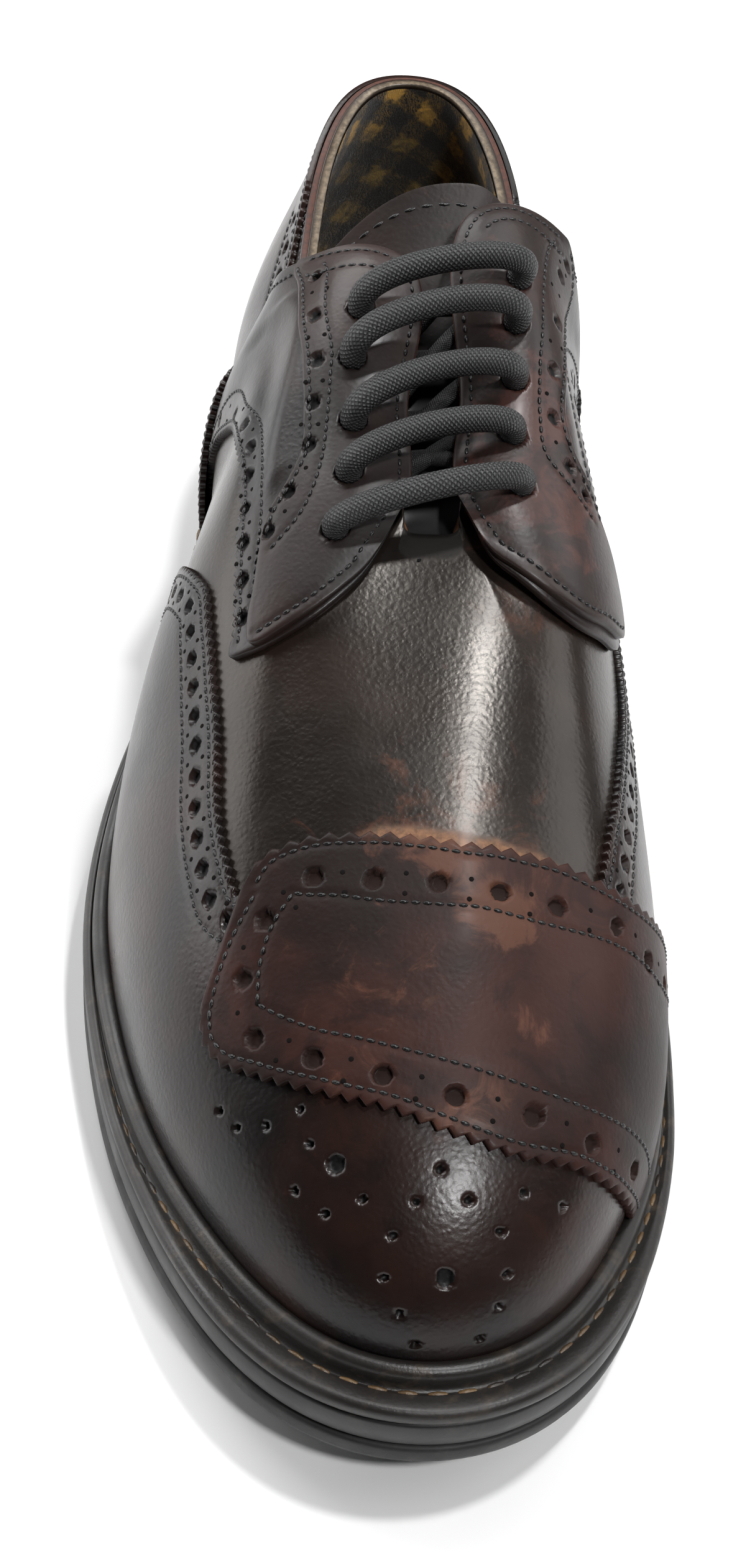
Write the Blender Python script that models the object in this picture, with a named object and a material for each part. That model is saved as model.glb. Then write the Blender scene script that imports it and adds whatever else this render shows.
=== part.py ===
"""A right brogue shoe: layered sole and heel, hollow lasted upper, overlays, tongue and lace bars."""
import bpy
import numpy as np

# Sizes are in millimetres from the toe end of the last: x grows to the inner side of the foot,
# y from toe to heel, z up.
MM = 0.001
TOE_SHIFT = 1.5
TOE_SHIFT_REACH = 110.0
WALL = 2.0
SEAM_GAP = 0.3
LEATHER = 1.2
SOLE_EDGE = 15.0
WELT_THICK = 3.2
MIDSOLE_THICK = 6.4
WELT_INSIDE = 7.0
RIB_GAP = 0.45
RIB_HEIGHT = 3.4
RIB_H = 0.042
HEEL_BREAST_Y = 231.0
HEEL_INSET = 0.6
INSOLE_THICK = 2.5
INSOLE_INSET = 2.8
OVERLAY_FOOT = 0.055
EDGE_SNAP = 0.012
# Share of an end column left open, so that the two quarters meet with a gap at the heel.
END_TRIM = 0.02
TONGUE_THICK = 1.8
TONGUE_TOP_LEAN = 43.0
LACE_RADIUS = 2.4

# One row a section of the last, from toe to heel. The outer and inner sides share a row.
SECTION_COLUMNS = ("name", "foot_y", "foot_outer", "foot_inner", "top_y", "top_outer", "top_inner",
                   "top_z", "lean", "reach", "slope", "top_reach", "inner_back", "inner_rise")
SECTIONS = (
    ("toe_tip", 14.0, 0.0, 0.0, 138.0, 0.0, 0.0, 88.2, 4, 30, 26, 54, 0.0, 0.0),
    ("toe_corner", 23.5, 20.5, 21.0, 138.5, 4.0, 4.0, 88.2, 6, 31, 25.5, 52, 0.0, 0.0),
    ("toe_side", 50.0, 37.5, 36.5, 140.8, 4.6, 4.6, 88.8, 7, 34, 21, 45, 0.0, 0.0),
    ("ball_front", 77.0, 47.0, 43.0, 144.5, 4.9, 5.2, 90.2, 6, 34, 13, 37, 0.0, 0.0),
    ("ball", 110.0, 52.5, 44.5, 153.0, 4.9, 5.2, 94.0, 4, 32, -4, 30, 0.5, 0.5),
    ("waist_front", 146.0, 49.0, 39.0, 167.0, 4.7, 5.2, 100.5, 6, 36, -12, 30, 2.0, 2.5),
    ("waist", 180.0, 40.0, 31.0, 188.0, 5.5, 6.0, 110.5, 8, 35, -16, 25, 6.0, 7.0),
    ("corner", 207.0, 37.0, 29.0, 200.0, 26.0, 26.5, 103.0, 11, 34, 72, 20, 6.0, 4.0),
    ("quarter", 233.0, 34.0, 30.5, 227.0, 24.0, 24.5, 81.0, 9, 26, 86, 16, 1.0, 1.0),
    ("heel_side", 262.0, 32.0, 31.5, 258.0, 20.5, 21.5, 88.0, 8, 26, 86, 16, 0.0, 0.0),
    ("heel_corner", 289.0, 21.5, 21.5, 284.0, 13.0, 13.5, 97.5, 9, 26, 86, 16, 0.0, 0.0),
    ("heel_back", 300.0, 0.0, 0.0, 291.5, 0.0, 0.0, 100.0, 9, 26, 86, 16, 0.0, 0.0),
)

# Height of the outsole's underside along the shoe: toe spring, flat forefoot, arch, heel seat.
UNDERSIDE = ((0, 10.0), (30, 5.6), (60, 1.4), (78, 0.0), (112, 0.0), (130, 1.7), (150, 5.0),
             (185, 11.5), (220, 18.0), (250, 21.5), (280, 23.0), (310, 24.0))
# How far the welt stands out from the foot of the upper along the shoe.
WELT_REACH = ((0, 9.8), (25, 9.3), (60, 7.2), (110, 6.0), (180, 6.0), (230, 5.0), (310, 5.0))

# Overlay edges on the last: place round the ring of sections against height, 0 at the foot, 1 at the top.
WING_TOP = ((16.2, 0.06), (16.5, 0.20), (16.88, 0.388), (17.34, 0.482), (17.7, 0.514), (18.0, 0.522),
            (18.35, 0.524), (18.74, 0.516), (19.18, 0.492), (19.64, 0.474), (19.98, 0.475), (20.27, 0.53),
            (20.62, 0.59), (21.25, 0.632), (21.77, 0.64), (22.34, 0.634), (22.9, 0.615), (23.49, 0.567),
            (23.97, 0.504), (24.35, 0.506), (24.66, 0.51), (25.1, 0.494), (25.68, 0.46), (26.3, 0.41),
            (26.6, 0.40), (26.9, 0.395), (27.2, 0.36), (27.5, 0.25), (27.8, 0.06))
STRAP_TOP = ((20.0, 0.505), (20.25, 0.57), (20.65, 0.618), (21.27, 0.654), (21.78, 0.66), (22.32, 0.654),
             (22.86, 0.638), (23.47, 0.59), (24.05, 0.506), (24.6, 0.406), (25.24, 0.24), (25.6, 0.1))
STRAP_FOOT = ((20.0, 0.29), (20.25, 0.286), (20.6, 0.32), (21.09, 0.36), (21.61, 0.374), (22.09, 0.356),
              (22.55, 0.322), (23.07, 0.264), (23.35, 0.198), (23.76, 0.055), (25.6, 0.055))
QUARTER_OUTER_FOOT = ((11.0, 0.055), (14.9, 0.055), (15.14, 0.20), (15.47, 0.346), (15.93, 0.426),
                      (16.51, 0.526), (16.83, 0.574), (17.31, 0.602), (17.72, 0.592), (18.16, 0.574),
                      (18.27, 0.566), (18.43, 0.608), (18.78, 0.708), (19.14, 0.812), (19.42, 0.894))
QUARTER_INNER_FOOT = ((2.8, 0.915), (3.16, 0.828), (3.47, 0.732), (3.78, 0.642), (4.06, 0.57), (4.5, 0.455),
                      (4.9, 0.46), (5.2, 0.475), (5.6, 0.50), (6.0, 0.50), (6.4, 0.45), (6.8, 0.33),
                      (7.05, 0.20), (7.25, 0.055), (11.0, 0.055))
FACING_OUTER_FOOT = ((15.25, 0.95), (15.5, 0.82), (15.67, 0.78), (16.18, 0.724), (16.62, 0.746),
                     (17.0, 0.768), (17.29, 0.77), (17.49, 0.736), (17.62, 0.688), (17.85, 0.664),
                     (18.1, 0.64), (18.3, 0.622), (18.43, 0.62), (18.78, 0.718), (19.14, 0.822), (19.42, 0.904))
FACING_INNER_FOOT = ((2.8, 0.925), (3.16, 0.838), (3.47, 0.742), (3.78, 0.652), (4.06, 0.582), (4.5, 0.475),
                     (4.75, 0.52), (4.89, 0.63), (4.96, 0.705), (5.11, 0.724), (5.48, 0.69), (5.9, 0.662),
                     (6.15, 0.664), (6.4, 0.72), (6.6, 0.80), (6.75, 0.95))
COUNTER_TOP = ((6.75, 0.30), (6.9, 0.42), (7.1, 0.52), (7.5, 0.62), (8.0, 0.72), (8.4, 0.80), (8.8, 0.90),
               (9.1, 0.985), (12.9, 0.985), (13.2, 0.90), (13.6, 0.80), (14.0, 0.72), (14.5, 0.62),
               (14.9, 0.52), (15.1, 0.42), (15.25, 0.30))

# One row a lace bar, from the top: the places of its two holes on the facings, how high it arches and how far
# it settles back along the facings.
LACE_COLUMNS = ("outer_u", "outer_h", "inner_u", "inner_h", "arch", "settle")
LACES = (
    (16.42, 0.865, 5.68, 0.84, 14.0, 5.2),
    (16.77, 0.862, 5.40, 0.85, 18.0, 9.0),
    (17.33, 0.88, 5.05, 0.866, 15.0, 7.6),
    (17.89, 0.86, 4.57, 0.876, 11.5, 5.0),
    (18.37, 0.82, 4.08, 0.846, 8.5, 1.6),
)
LACE_SETTLE = np.array((0.09, 0.84, -0.53))

# One row a cross section of the tongue under the upper: ring place, height of its edges, room below the wall.
TONGUE_UNDER_COLUMNS = ("ring", "edge_h", "sink")
TONGUE_UNDER = (
    (0.6, 0.93, 1.0),
    (1.3, 0.90, 1.0),
    (2.2, 0.87, 1.0),
    (3.2, 0.85, 1.0),
    (4.2, 0.83, 1.0),
    (5.0, 0.82, 1.2),
    (5.5, 0.82, 1.8),
)
# One row a cross section of the tongue above the slot: the middle, half its width, the fall and set-back of its sides.
TONGUE_TOP_COLUMNS = ("x", "y", "z", "half_outer", "half_inner", "fall", "sweep")
TONGUE_TOP = (
    (2.0, 192.0, 111.6, 23.5, 15.5, 15.0, 3.0),
    (4.0, 198.0, 116.6, 25.5, 13.5, 16.0, 4.0),
    (6.0, 203.5, 121.3, 27.5, 13.5, 17.0, 6.0),
)

FRONT_COLUMNS = 4
REAR_COLUMNS = 3
FRONT_SECTIONS = 4
HEIGHTS = np.array((0.0, 0.055, 0.11, 0.17, 0.24, 0.32, 0.41, 0.51, 0.61, 0.71, 0.81, 0.91, 1.0))
LACE_SIDES = 8
LACE_STEPS = 12
TONGUE_SIDE_STEPS = 3
TONGUE_BRIDGE_STEPS = 4

COLLECTION = "brogue_shoe"
# Node, colour, roughness.
FINISH = {
    "outsole": ((0.012, 0.011, 0.011), 0.55),
    "midsole": ((0.016, 0.015, 0.015), 0.45),
    "welt": ((0.018, 0.016, 0.016), 0.35),
    "heel": ((0.012, 0.011, 0.011), 0.55),
    "insole": ((0.30, 0.20, 0.10), 0.70),
    "upper": ((0.050, 0.018, 0.014), 0.35),
    "wing": ((0.045, 0.015, 0.012), 0.33),
    "toe_strap": ((0.075, 0.022, 0.015), 0.33),
    "quarter_lateral": ((0.045, 0.016, 0.013), 0.35),
    "quarter_medial": ((0.045, 0.016, 0.013), 0.35),
    "facing_lateral": ((0.055, 0.018, 0.014), 0.33),
    "facing_medial": ((0.070, 0.020, 0.015), 0.33),
    "counter": ((0.040, 0.015, 0.012), 0.35),
    "tongue": ((0.035, 0.014, 0.012), 0.40),
    "lace": ((0.020, 0.014, 0.012), 0.60),
}


def smooth_table(table, x):
    """Values between the rows of a table, with no overshoot."""
    xs = np.array([row[0] for row in table], float)
    ys = np.array([row[1] for row in table], float)
    x = np.clip(np.asarray(x, float), xs[0], xs[-1])
    width = np.diff(xs)
    rise = np.diff(ys) / width
    slope = np.zeros(len(xs))
    slope[0] = rise[0]
    slope[-1] = rise[-1]
    same_way = rise[:-1] * rise[1:] > 0
    total = np.where(same_way, rise[:-1] + rise[1:], 1.0)
    slope[1:-1] = np.where(same_way, 2.0 * rise[:-1] * rise[1:] / total, 0.0)
    i = np.clip(np.searchsorted(xs, x) - 1, 0, len(xs) - 2)
    t = (x - xs[i]) / width[i]
    value = (2 * t**3 - 3 * t**2 + 1) * ys[i] + (t**3 - 2 * t**2 + t) * width[i] * slope[i]
    return value + (3 * t**2 - 2 * t**3) * ys[i + 1] + (t**3 - t**2) * width[i] * slope[i + 1]


def underside(y):
    return smooth_table(UNDERSIDE, y)


def sole_top(y):
    return underside(y) + SOLE_EDGE


def centre_line(y):
    t = np.clip((TOE_SHIFT_REACH - np.asarray(y, float)) / TOE_SHIFT_REACH, 0.0, 1.0)
    return TOE_SHIFT * t * t


def unit(vectors):
    return vectors / np.linalg.norm(vectors, axis=-1, keepdims=True)


def ring_weights(values):
    """Weights of a smooth closed curve through the rows of values."""
    count = len(values)
    system = np.zeros((count, count))
    for i in range(count):
        system[i, i] = 4.0
        system[i, (i + 1) % count] = 1.0
        system[i, (i - 1) % count] = 1.0
    return np.linalg.solve(system / 6.0, values)


def section_ring():
    """Four shaping points a section, round the shoe: toe, inner side, heel, outer side."""
    rows = [dict(zip(SECTION_COLUMNS, row)) for row in SECTIONS]
    order = [(row, 1.0) for row in rows] + [(row, -1.0) for row in rows[-2:0:-1]]
    foot = []
    top = []
    for row, side in order:
        foot_x = row["foot_inner"] if side > 0 else -row["foot_outer"]
        top_x = row["top_inner"] if side > 0 else -row["top_outer"]
        back = row["inner_back"] if side > 0 else 0.0
        rise = row["inner_rise"] if side > 0 else 0.0
        y = row["foot_y"]
        foot.append((float(centre_line(y)) + foot_x, y, float(sole_top(y)) + SEAM_GAP))
        top.append((top_x, row["top_y"] + back, row["top_z"] + rise))
    foot = np.array(foot)
    top = np.array(top)
    along = np.roll(foot, -1, axis=0) - np.roll(foot, 1, axis=0)
    outward = unit(np.stack([along[:, 1], -along[:, 0], 0.0 * along[:, 0]], axis=1))
    lean = np.radians([row["lean"] for row, _ in order])[:, None]
    slope = np.radians([row["slope"] for row, _ in order])[:, None]
    reach = np.array([row["reach"] for row, _ in order], float)[:, None]
    top_reach = np.array([row["top_reach"] for row, _ in order], float)[:, None]
    up = np.array((0.0, 0.0, 1.0))
    level = foot - top
    level[:, 2] = 0.0
    distance = np.linalg.norm(level, axis=1)[:, None]
    toward_foot = np.where(distance > 15.0, level / np.maximum(distance, 1.0), outward)
    low = foot + reach * (np.sin(lean) * outward + np.cos(lean) * up)
    high = top + top_reach * (np.cos(slope) * toward_foot - np.sin(slope) * up)
    return np.stack([foot, low, high, top], axis=1)


SHAPE = section_ring()
RING_COUNT = len(SHAPE)
SHAPE_WEIGHTS = ring_weights(SHAPE.reshape(RING_COUNT, 12))


def last(u, h):
    """Point of the last's surface at ring place u and height h."""
    u, h = np.broadcast_arrays(np.asarray(u, float), np.asarray(h, float))
    place = np.mod(u, RING_COUNT)
    i = np.floor(place).astype(int) % RING_COUNT
    t = (place - np.floor(place))[..., None]
    near = SHAPE_WEIGHTS[(i - 1) % RING_COUNT] * (1 - t)**3 + SHAPE_WEIGHTS[i] * (3 * t**3 - 6 * t**2 + 4)
    far = SHAPE_WEIGHTS[(i + 1) % RING_COUNT] * (3 * t + 3 * t**2 - 3 * t**3 + 1)
    far = far + SHAPE_WEIGHTS[(i + 2) % RING_COUNT] * t**3
    p = ((near + far) / 6.0).reshape(u.shape + (4, 3))
    p[..., 0, 2] = sole_top(p[..., 0, 1]) + SEAM_GAP
    h = h[..., None]
    k = 1.0 - h
    return k**3 * p[..., 0, :] + 3 * k * k * h * p[..., 1, :] + 3 * k * h * h * p[..., 2, :] + h**3 * p[..., 3, :]


def last_normal(u, h):
    """Outward direction of the last's surface."""
    u, h = np.broadcast_arrays(np.asarray(u, float), np.asarray(h, float))
    across = last(u + 0.01, h) - last(u - 0.01, h)
    rising = last(u, np.minimum(h + 0.002, 1.0)) - last(u, np.maximum(h - 0.002, 0.0))
    return unit(np.cross(across, rising))


FRONT_RING = np.arange(FRONT_SECTIONS * FRONT_COLUMNS) / FRONT_COLUMNS
REAR_END = RING_COUNT - FRONT_SECTIONS
REAR_RING = np.arange(FRONT_SECTIONS * REAR_COLUMNS, REAR_END * REAR_COLUMNS) / REAR_COLUMNS
RING = np.concatenate([FRONT_RING, REAR_RING, FRONT_RING + REAR_END])
COLUMN_COUNT = len(RING)
GRID_U, GRID_H = np.meshgrid(RING, HEIGHTS, indexing="ij")
GRID = last(GRID_U, GRID_H)
GRID_NORMAL = last_normal(GRID_U, GRID_H)
FOOT = GRID[:, 0]
FOOT_ALONG = np.roll(FOOT, -1, axis=0) - np.roll(FOOT, 1, axis=0)
FOOT_OUT = unit(np.stack([FOOT_ALONG[:, 1], -FOOT_ALONG[:, 0], 0.0 * FOOT_ALONG[:, 0]], axis=1))
WELT_OUT = smooth_table(WELT_REACH, FOOT[:, 1])

parts = []


def ring_at(offset, level, z_of=sole_top):
    """Outline of the foot moved outward, at a level above the sole's own line."""
    points = FOOT + FOOT_OUT * np.reshape(offset, (-1, 1))
    points[:, 2] = z_of(points[:, 1]) + level
    return points


def ladder(first, count):
    """Faces across a closed ring that starts at the toe: rungs join its two sides."""
    half = count // 2
    faces = [(first, first + count - 1, first + 1)]
    for i in range(1, half - 1):
        faces.append((first + i, first + count - i, first + count - i - 1, first + i + 1))
    faces.append((first + half - 1, first + half + 1, first + half))
    return faces


def stacked_rings(name, rings, capped):
    """Solid from rings joined in turn, closed by its end faces or back onto its first ring."""
    count = len(rings[0])
    verts = np.concatenate(rings)
    faces = []
    pairs = len(rings) - 1 if capped else len(rings)
    for k in range(pairs):
        a = k * count
        b = ((k + 1) % len(rings)) * count
        for i in range(count):
            j = (i + 1) % count
            faces.append((a + i, a + j, b + j, b + i))
    if capped:
        faces += ladder(0, count)
        top = ladder((len(rings) - 1) * count, count)
        faces += [tuple(reversed(face)) for face in top]
    parts.append((name, verts, faces))


def trimmed(edge):
    """Part of a flat polygon on the kept side of a line, from its points and their signed distances."""
    kept = []
    for (point, side), (after, far_side) in zip(edge, edge[1:] + edge[:1]):
        if side >= 0.0:
            kept.append(point)
        if side * far_side < 0.0:
            t = side / (side - far_side)
            kept.append((point[0] + t * (after[0] - point[0]), point[1] + t * (after[1] - point[1])))
    return kept


def settled(values):
    """Edge heights moved onto a near grid height."""
    nearest = HEIGHTS[np.abs(values[:, None] - HEIGHTS[None, :]).argmin(axis=1)]
    return np.where(np.abs(values - nearest) < EDGE_SNAP, nearest, values)


def facet_point(skin, a, b, row, upper_half, s, t):
    """Point on one triangle of a skin of the last."""
    if upper_half:
        corner = skin[b, row + 1]
        return corner + (1 - s) * (skin[a, row + 1] - corner) + (1 - t) * (skin[b, row] - corner)
    corner = skin[a, row]
    return corner + s * (skin[b, row] - corner) + t * (skin[a, row + 1] - corner)


def overlay(name, low, high, inner, outer):
    """Leather piece cut from the last's own facets between two edges, from inner to outer lift."""
    twice_round = np.concatenate([RING, RING + RING_COUNT])
    columns = np.flatnonzero((twice_round > low[0][0] - 1e-6) & (twice_round < low[-1][0] + 1e-6))
    bottoms = settled(smooth_table(low, twice_round[columns]))
    tops = settled(smooth_table(high, twice_round[columns]))
    skin_out = GRID + GRID_NORMAL * outer
    skin_in = GRID + GRID_NORMAL * inner
    index = {}
    outside = []
    inside = []
    sheet = []
    for k in range(len(columns) - 1):
        start = END_TRIM if k == 0 else 0.0
        end = 1.0 - END_TRIM if k == len(columns) - 2 else 1.0
        a = columns[k] % COLUMN_COUNT
        b = columns[k + 1] % COLUMN_COUNT
        for row in range(len(HEIGHTS) - 1):
            lo = HEIGHTS[row]
            hi = HEIGHTS[row + 1]
            for upper_half in (False, True):
                shape = [(0.0, hi), (1.0, lo), (1.0, hi)] if upper_half else [(0.0, lo), (1.0, lo), (0.0, hi)]
                over = [(p, p[1] - bottoms[k] - p[0] * (bottoms[k + 1] - bottoms[k])) for p in shape]
                shape = trimmed(over)
                under = [(p, tops[k] + p[0] * (tops[k + 1] - tops[k]) - p[1]) for p in shape]
                shape = trimmed(under)
                face = []
                for s, h in shape:
                    s = min(max(s, start), end)
                    key = (round(columns[k] + s, 5), round(h, 5))
                    if key not in index:
                        t = (h - lo) / (hi - lo)
                        index[key] = len(outside)
                        outside.append(facet_point(skin_out, a, b, row, upper_half, s, t))
                        inside.append(facet_point(skin_in, a, b, row, upper_half, s, t))
                    if index[key] not in face:
                        face.append(index[key])
                if len(face) > 2:
                    sheet.append(face)
    total = len(outside)
    edges = {}
    for face in sheet:
        for p, q in zip(face, face[1:] + face[:1]):
            edges[(p, q)] = True
    faces = [tuple(face) for face in sheet]
    faces += [tuple(v + total for v in reversed(face)) for face in sheet]
    for p, q in edges:
        if (q, p) not in edges:
            faces.append((q, p, p + total, q + total))
    parts.append((name, np.array(outside + inside), faces))


def whole_upper():
    """Hollow wall of the upper: outer and inner skins, a foot rim and a top rim."""
    rows = len(HEIGHTS)
    outside = GRID.reshape(-1, 3)
    inside = (GRID - GRID_NORMAL * WALL).reshape(-1, 3)
    total = len(outside)
    faces = []
    for i in range(COLUMN_COUNT):
        a = i * rows
        b = ((i + 1) % COLUMN_COUNT) * rows
        for j in range(rows - 1):
            for p, q, r in ((a + j, b + j, a + j + 1), (a + j + 1, b + j, b + j + 1)):
                faces.append((p, q, r))
                faces.append((r + total, q + total, p + total))
        faces.append((b, a, a + total, b + total))
        faces.append((a + rows - 1, b + rows - 1, b + rows - 1 + total, a + rows - 1 + total))
    parts.append(("upper", np.concatenate([outside, inside]), faces))


def heel_block():
    """Heel with a straight breast, from the floor to the outsole."""
    outline = FOOT + FOOT_OUT * (WELT_OUT - HEEL_INSET)[:, None]
    arc = outline[outline[:, 1] > HEEL_BREAST_Y + 2.0]
    arc = arc[np.argsort(np.arctan2(arc[:, 1] - HEEL_BREAST_Y, arc[:, 0]))]
    front = [np.array((arc[0][0], HEEL_BREAST_Y, 0.0)), np.array((arc[-1][0], HEEL_BREAST_Y, 0.0))]
    ring = np.concatenate([[front[0]], arc, [front[1]]])
    count = len(ring)
    low = ring.copy()
    low[:, 2] = 0.0
    high = ring.copy()
    high[:, 2] = underside(high[:, 1]) - SEAM_GAP
    verts = np.concatenate([low, high])
    faces = []
    for i in range(count):
        j = (i + 1) % count
        faces.append((i, j, j + count, i + count))
    a = 0
    b = count - 1
    while b - a > 1:
        rung = (a, b, b - 1, a + 1) if b - a > 2 else (a, b, a + 1)
        faces.append(rung)
        faces.append(tuple(reversed([k + count for k in rung])))
        a += 1
        b -= 1
    parts.append(("heel", verts, faces))


def tongue_sheet():
    """Tongue under the slot: it follows the inside of the upper and bridges the slot."""
    sections = []
    for values in TONGUE_UNDER:
        row = dict(zip(TONGUE_UNDER_COLUMNS, values))
        heights = np.linspace(row["edge_h"], 0.985, TONGUE_SIDE_STEPS)
        skins = []
        for lift in (-WALL - row["sink"], -WALL - row["sink"] - TONGUE_THICK):
            inner = last(row["ring"], heights) + last_normal(row["ring"], heights) * lift
            outer = last(-row["ring"], heights) + last_normal(-row["ring"], heights) * lift
            a = outer[-1]
            b = inner[-1]
            run = np.linalg.norm(b - a)
            lead_a = unit(outer[-1] - outer[-2]) * run * 0.9
            lead_b = unit(inner[-2] - inner[-1]) * run * 0.9
            t = np.linspace(0.0, 1.0, TONGUE_BRIDGE_STEPS + 1)[1:-1, None]
            bridge = (2 * t**3 - 3 * t**2 + 1) * a + (t**3 - 2 * t**2 + t) * lead_a
            bridge = bridge + (3 * t**2 - 2 * t**3) * b + (t**3 - t**2) * lead_b
            skins.append(np.concatenate([outer, bridge, inner[::-1]]))
        sections.append(skins)
    lean = np.radians(TONGUE_TOP_LEAN)
    through = np.array((0.0, np.sin(lean), -np.cos(lean))) * TONGUE_THICK
    for values in TONGUE_TOP:
        row = dict(zip(TONGUE_TOP_COLUMNS, values))
        s = np.linspace(-1.0, 1.0, len(sections[0][0]))
        x = row["x"] + np.where(s < 0.0, row["half_outer"], row["half_inner"]) * s
        y = row["y"] - row["sweep"] * s * s
        z = row["z"] - row["fall"] * np.abs(s)**2.4
        line = np.stack([x, y, z], axis=1)
        sections.append([line, line + through])
    wide = len(sections[0][0])
    tall = len(sections)
    verts = np.concatenate([s[0] for s in sections] + [s[1] for s in sections])
    total = wide * tall
    faces = []
    for k in range(tall - 1):
        for i in range(wide - 1):
            face = (k * wide + i, k * wide + i + 1, (k + 1) * wide + i + 1, (k + 1) * wide + i)
            faces.append(face)
            faces.append(tuple(v + total for v in reversed(face)))
    border = [i for i in range(wide)] + [k * wide + wide - 1 for k in range(1, tall)]
    border += [(tall - 1) * wide + i for i in range(wide - 2, -1, -1)]
    border += [k * wide for k in range(tall - 2, 0, -1)]
    for i, a in enumerate(border):
        b = border[(i + 1) % len(border)]
        faces.append((b, a, a + total, b + total))
    parts.append(("tongue", verts, faces))


def lace_bar(name, row):
    """One lace bar: it rises from its hole, arches over the slot and goes down on the other side."""
    lift = 2 * SEAM_GAP + 2 * LEATHER + SEAM_GAP + 0.1
    ends = []
    for u, h in ((row["outer_u"], row["outer_h"]), (row["inner_u"], row["inner_h"])):
        direction = last_normal(u, h)
        ends.append((last(u, h) + direction * lift, direction))
    a = ends[0][0]
    b = ends[1][0]
    settle = LACE_SETTLE * row["settle"]
    a_out = a + ends[0][1] * row["arch"]
    b_out = b + ends[1][1] * row["arch"]
    t = np.linspace(0.0, 1.0, LACE_STEPS + 1)[:, None]
    k = 1.0 - t
    path = k**3 * a + 3 * k * k * t * a_out + 3 * k * t * t * b_out + t**3 * b + settle * np.sin(np.pi * t)**2
    run = 3.0 * (k * k * (a_out - a) + 2 * k * t * (b_out - a_out) + t * t * (b - b_out))
    tangent = unit(run + settle * np.pi * np.sin(2.0 * np.pi * t))
    across = unit(np.cross(tangent, np.array((0.0, 1.0, 0.0))))
    other = np.cross(tangent, across)
    turn = np.arange(LACE_SIDES) * 2.0 * np.pi / LACE_SIDES
    rings = []
    for point, side, up in zip(path, across, other):
        circle = np.cos(turn)[:, None] * side + np.sin(turn)[:, None] * up
        rings.append(point + circle * LACE_RADIUS)
    verts = np.concatenate(rings)
    faces = []
    for s in range(LACE_STEPS):
        for i in range(LACE_SIDES):
            j = (i + 1) % LACE_SIDES
            p = s * LACE_SIDES
            q = p + LACE_SIDES
            faces.append((p + i, p + j, q + j, q + i))
    end = LACE_STEPS * LACE_SIDES
    faces.append(tuple(reversed(range(LACE_SIDES))))
    faces.append(tuple(range(end, end + LACE_SIDES)))
    parts.append((name, verts, faces))


def add_object(name, verts, faces, shift, collection):
    mesh = bpy.data.meshes.new(name)
    points = (np.asarray(verts) - shift) * MM
    mesh.from_pydata([tuple(point) for point in points.tolist()], [], faces)
    mesh.validate()
    piece = bpy.data.objects.new(name, mesh)
    collection.objects.link(piece)
    bpy.context.view_layer.objects.active = piece
    piece.select_set(True)
    bpy.ops.object.mode_set(mode="EDIT")
    bpy.ops.mesh.select_all(action="SELECT")
    bpy.ops.mesh.quads_convert_to_tris(quad_method="FIXED", ngon_method="BEAUTY")
    bpy.ops.mesh.normals_make_consistent(inside=False)
    bpy.ops.object.mode_set(mode="OBJECT")
    piece.select_set(False)
    colour, roughness = FINISH["lace" if name.startswith("lace") else name]
    material = bpy.data.materials.new(name)
    material.use_nodes = True
    shader = material.node_tree.nodes["Principled BSDF"]
    shader.inputs["Base Color"].default_value = (*colour, 1.0)
    shader.inputs["Roughness"].default_value = roughness
    shader.inputs["Metallic"].default_value = 0.0
    mesh.materials.append(material)


for old in list(bpy.data.objects):
    bpy.data.objects.remove(old, do_unlink=True)

# Sole: outsole, midsole with its filled centre, welt with the storm rib, heel and insole.
OUTSOLE_TOP = WELT_THICK + MIDSOLE_THICK + 2 * SEAM_GAP
stacked_rings("outsole", [
    ring_at(WELT_OUT - 1.2, 0.0, underside),
    ring_at(WELT_OUT, 1.0, underside),
    ring_at(WELT_OUT + 0.2, 2.4, underside),
    ring_at(WELT_OUT, -OUTSOLE_TOP),
], True)
MIDSOLE_TOP = WELT_THICK + SEAM_GAP
stacked_rings("midsole", [
    ring_at(WELT_OUT - 0.5, -MIDSOLE_TOP - MIDSOLE_THICK),
    ring_at(WELT_OUT - 0.1, -MIDSOLE_TOP - 3.2),
    ring_at(WELT_OUT - 0.5, -MIDSOLE_TOP),
    ring_at(-WELT_INSIDE - 0.2, -MIDSOLE_TOP),
    ring_at(-WELT_INSIDE - 0.5, -0.1),
], True)
RIB_TOP = last(RING, RIB_H) + last_normal(RING, RIB_H) * RIB_GAP
RIB_TOP[:, 2] = sole_top(FOOT[:, 1]) + RIB_HEIGHT - 0.1
stacked_rings("welt", [
    ring_at(-WELT_INSIDE, -WELT_THICK),
    ring_at(WELT_OUT - 0.4, -WELT_THICK),
    ring_at(WELT_OUT + 0.2, -1.6),
    ring_at(WELT_OUT - 0.4, -0.4),
    ring_at(WELT_OUT - 1.2, 0.0),
    ring_at(3.6, 0.0),
    ring_at(3.2, RIB_HEIGHT - 1.0),
    ring_at(2.2, RIB_HEIGHT),
    RIB_TOP,
    ring_at(RIB_GAP, 0.0),
    ring_at(-WELT_INSIDE, 0.0),
], False)
heel_block()
stacked_rings("insole", [
    ring_at(-INSOLE_INSET, SEAM_GAP),
    ring_at(-INSOLE_INSET, SEAM_GAP + INSOLE_THICK),
], True)

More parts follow.
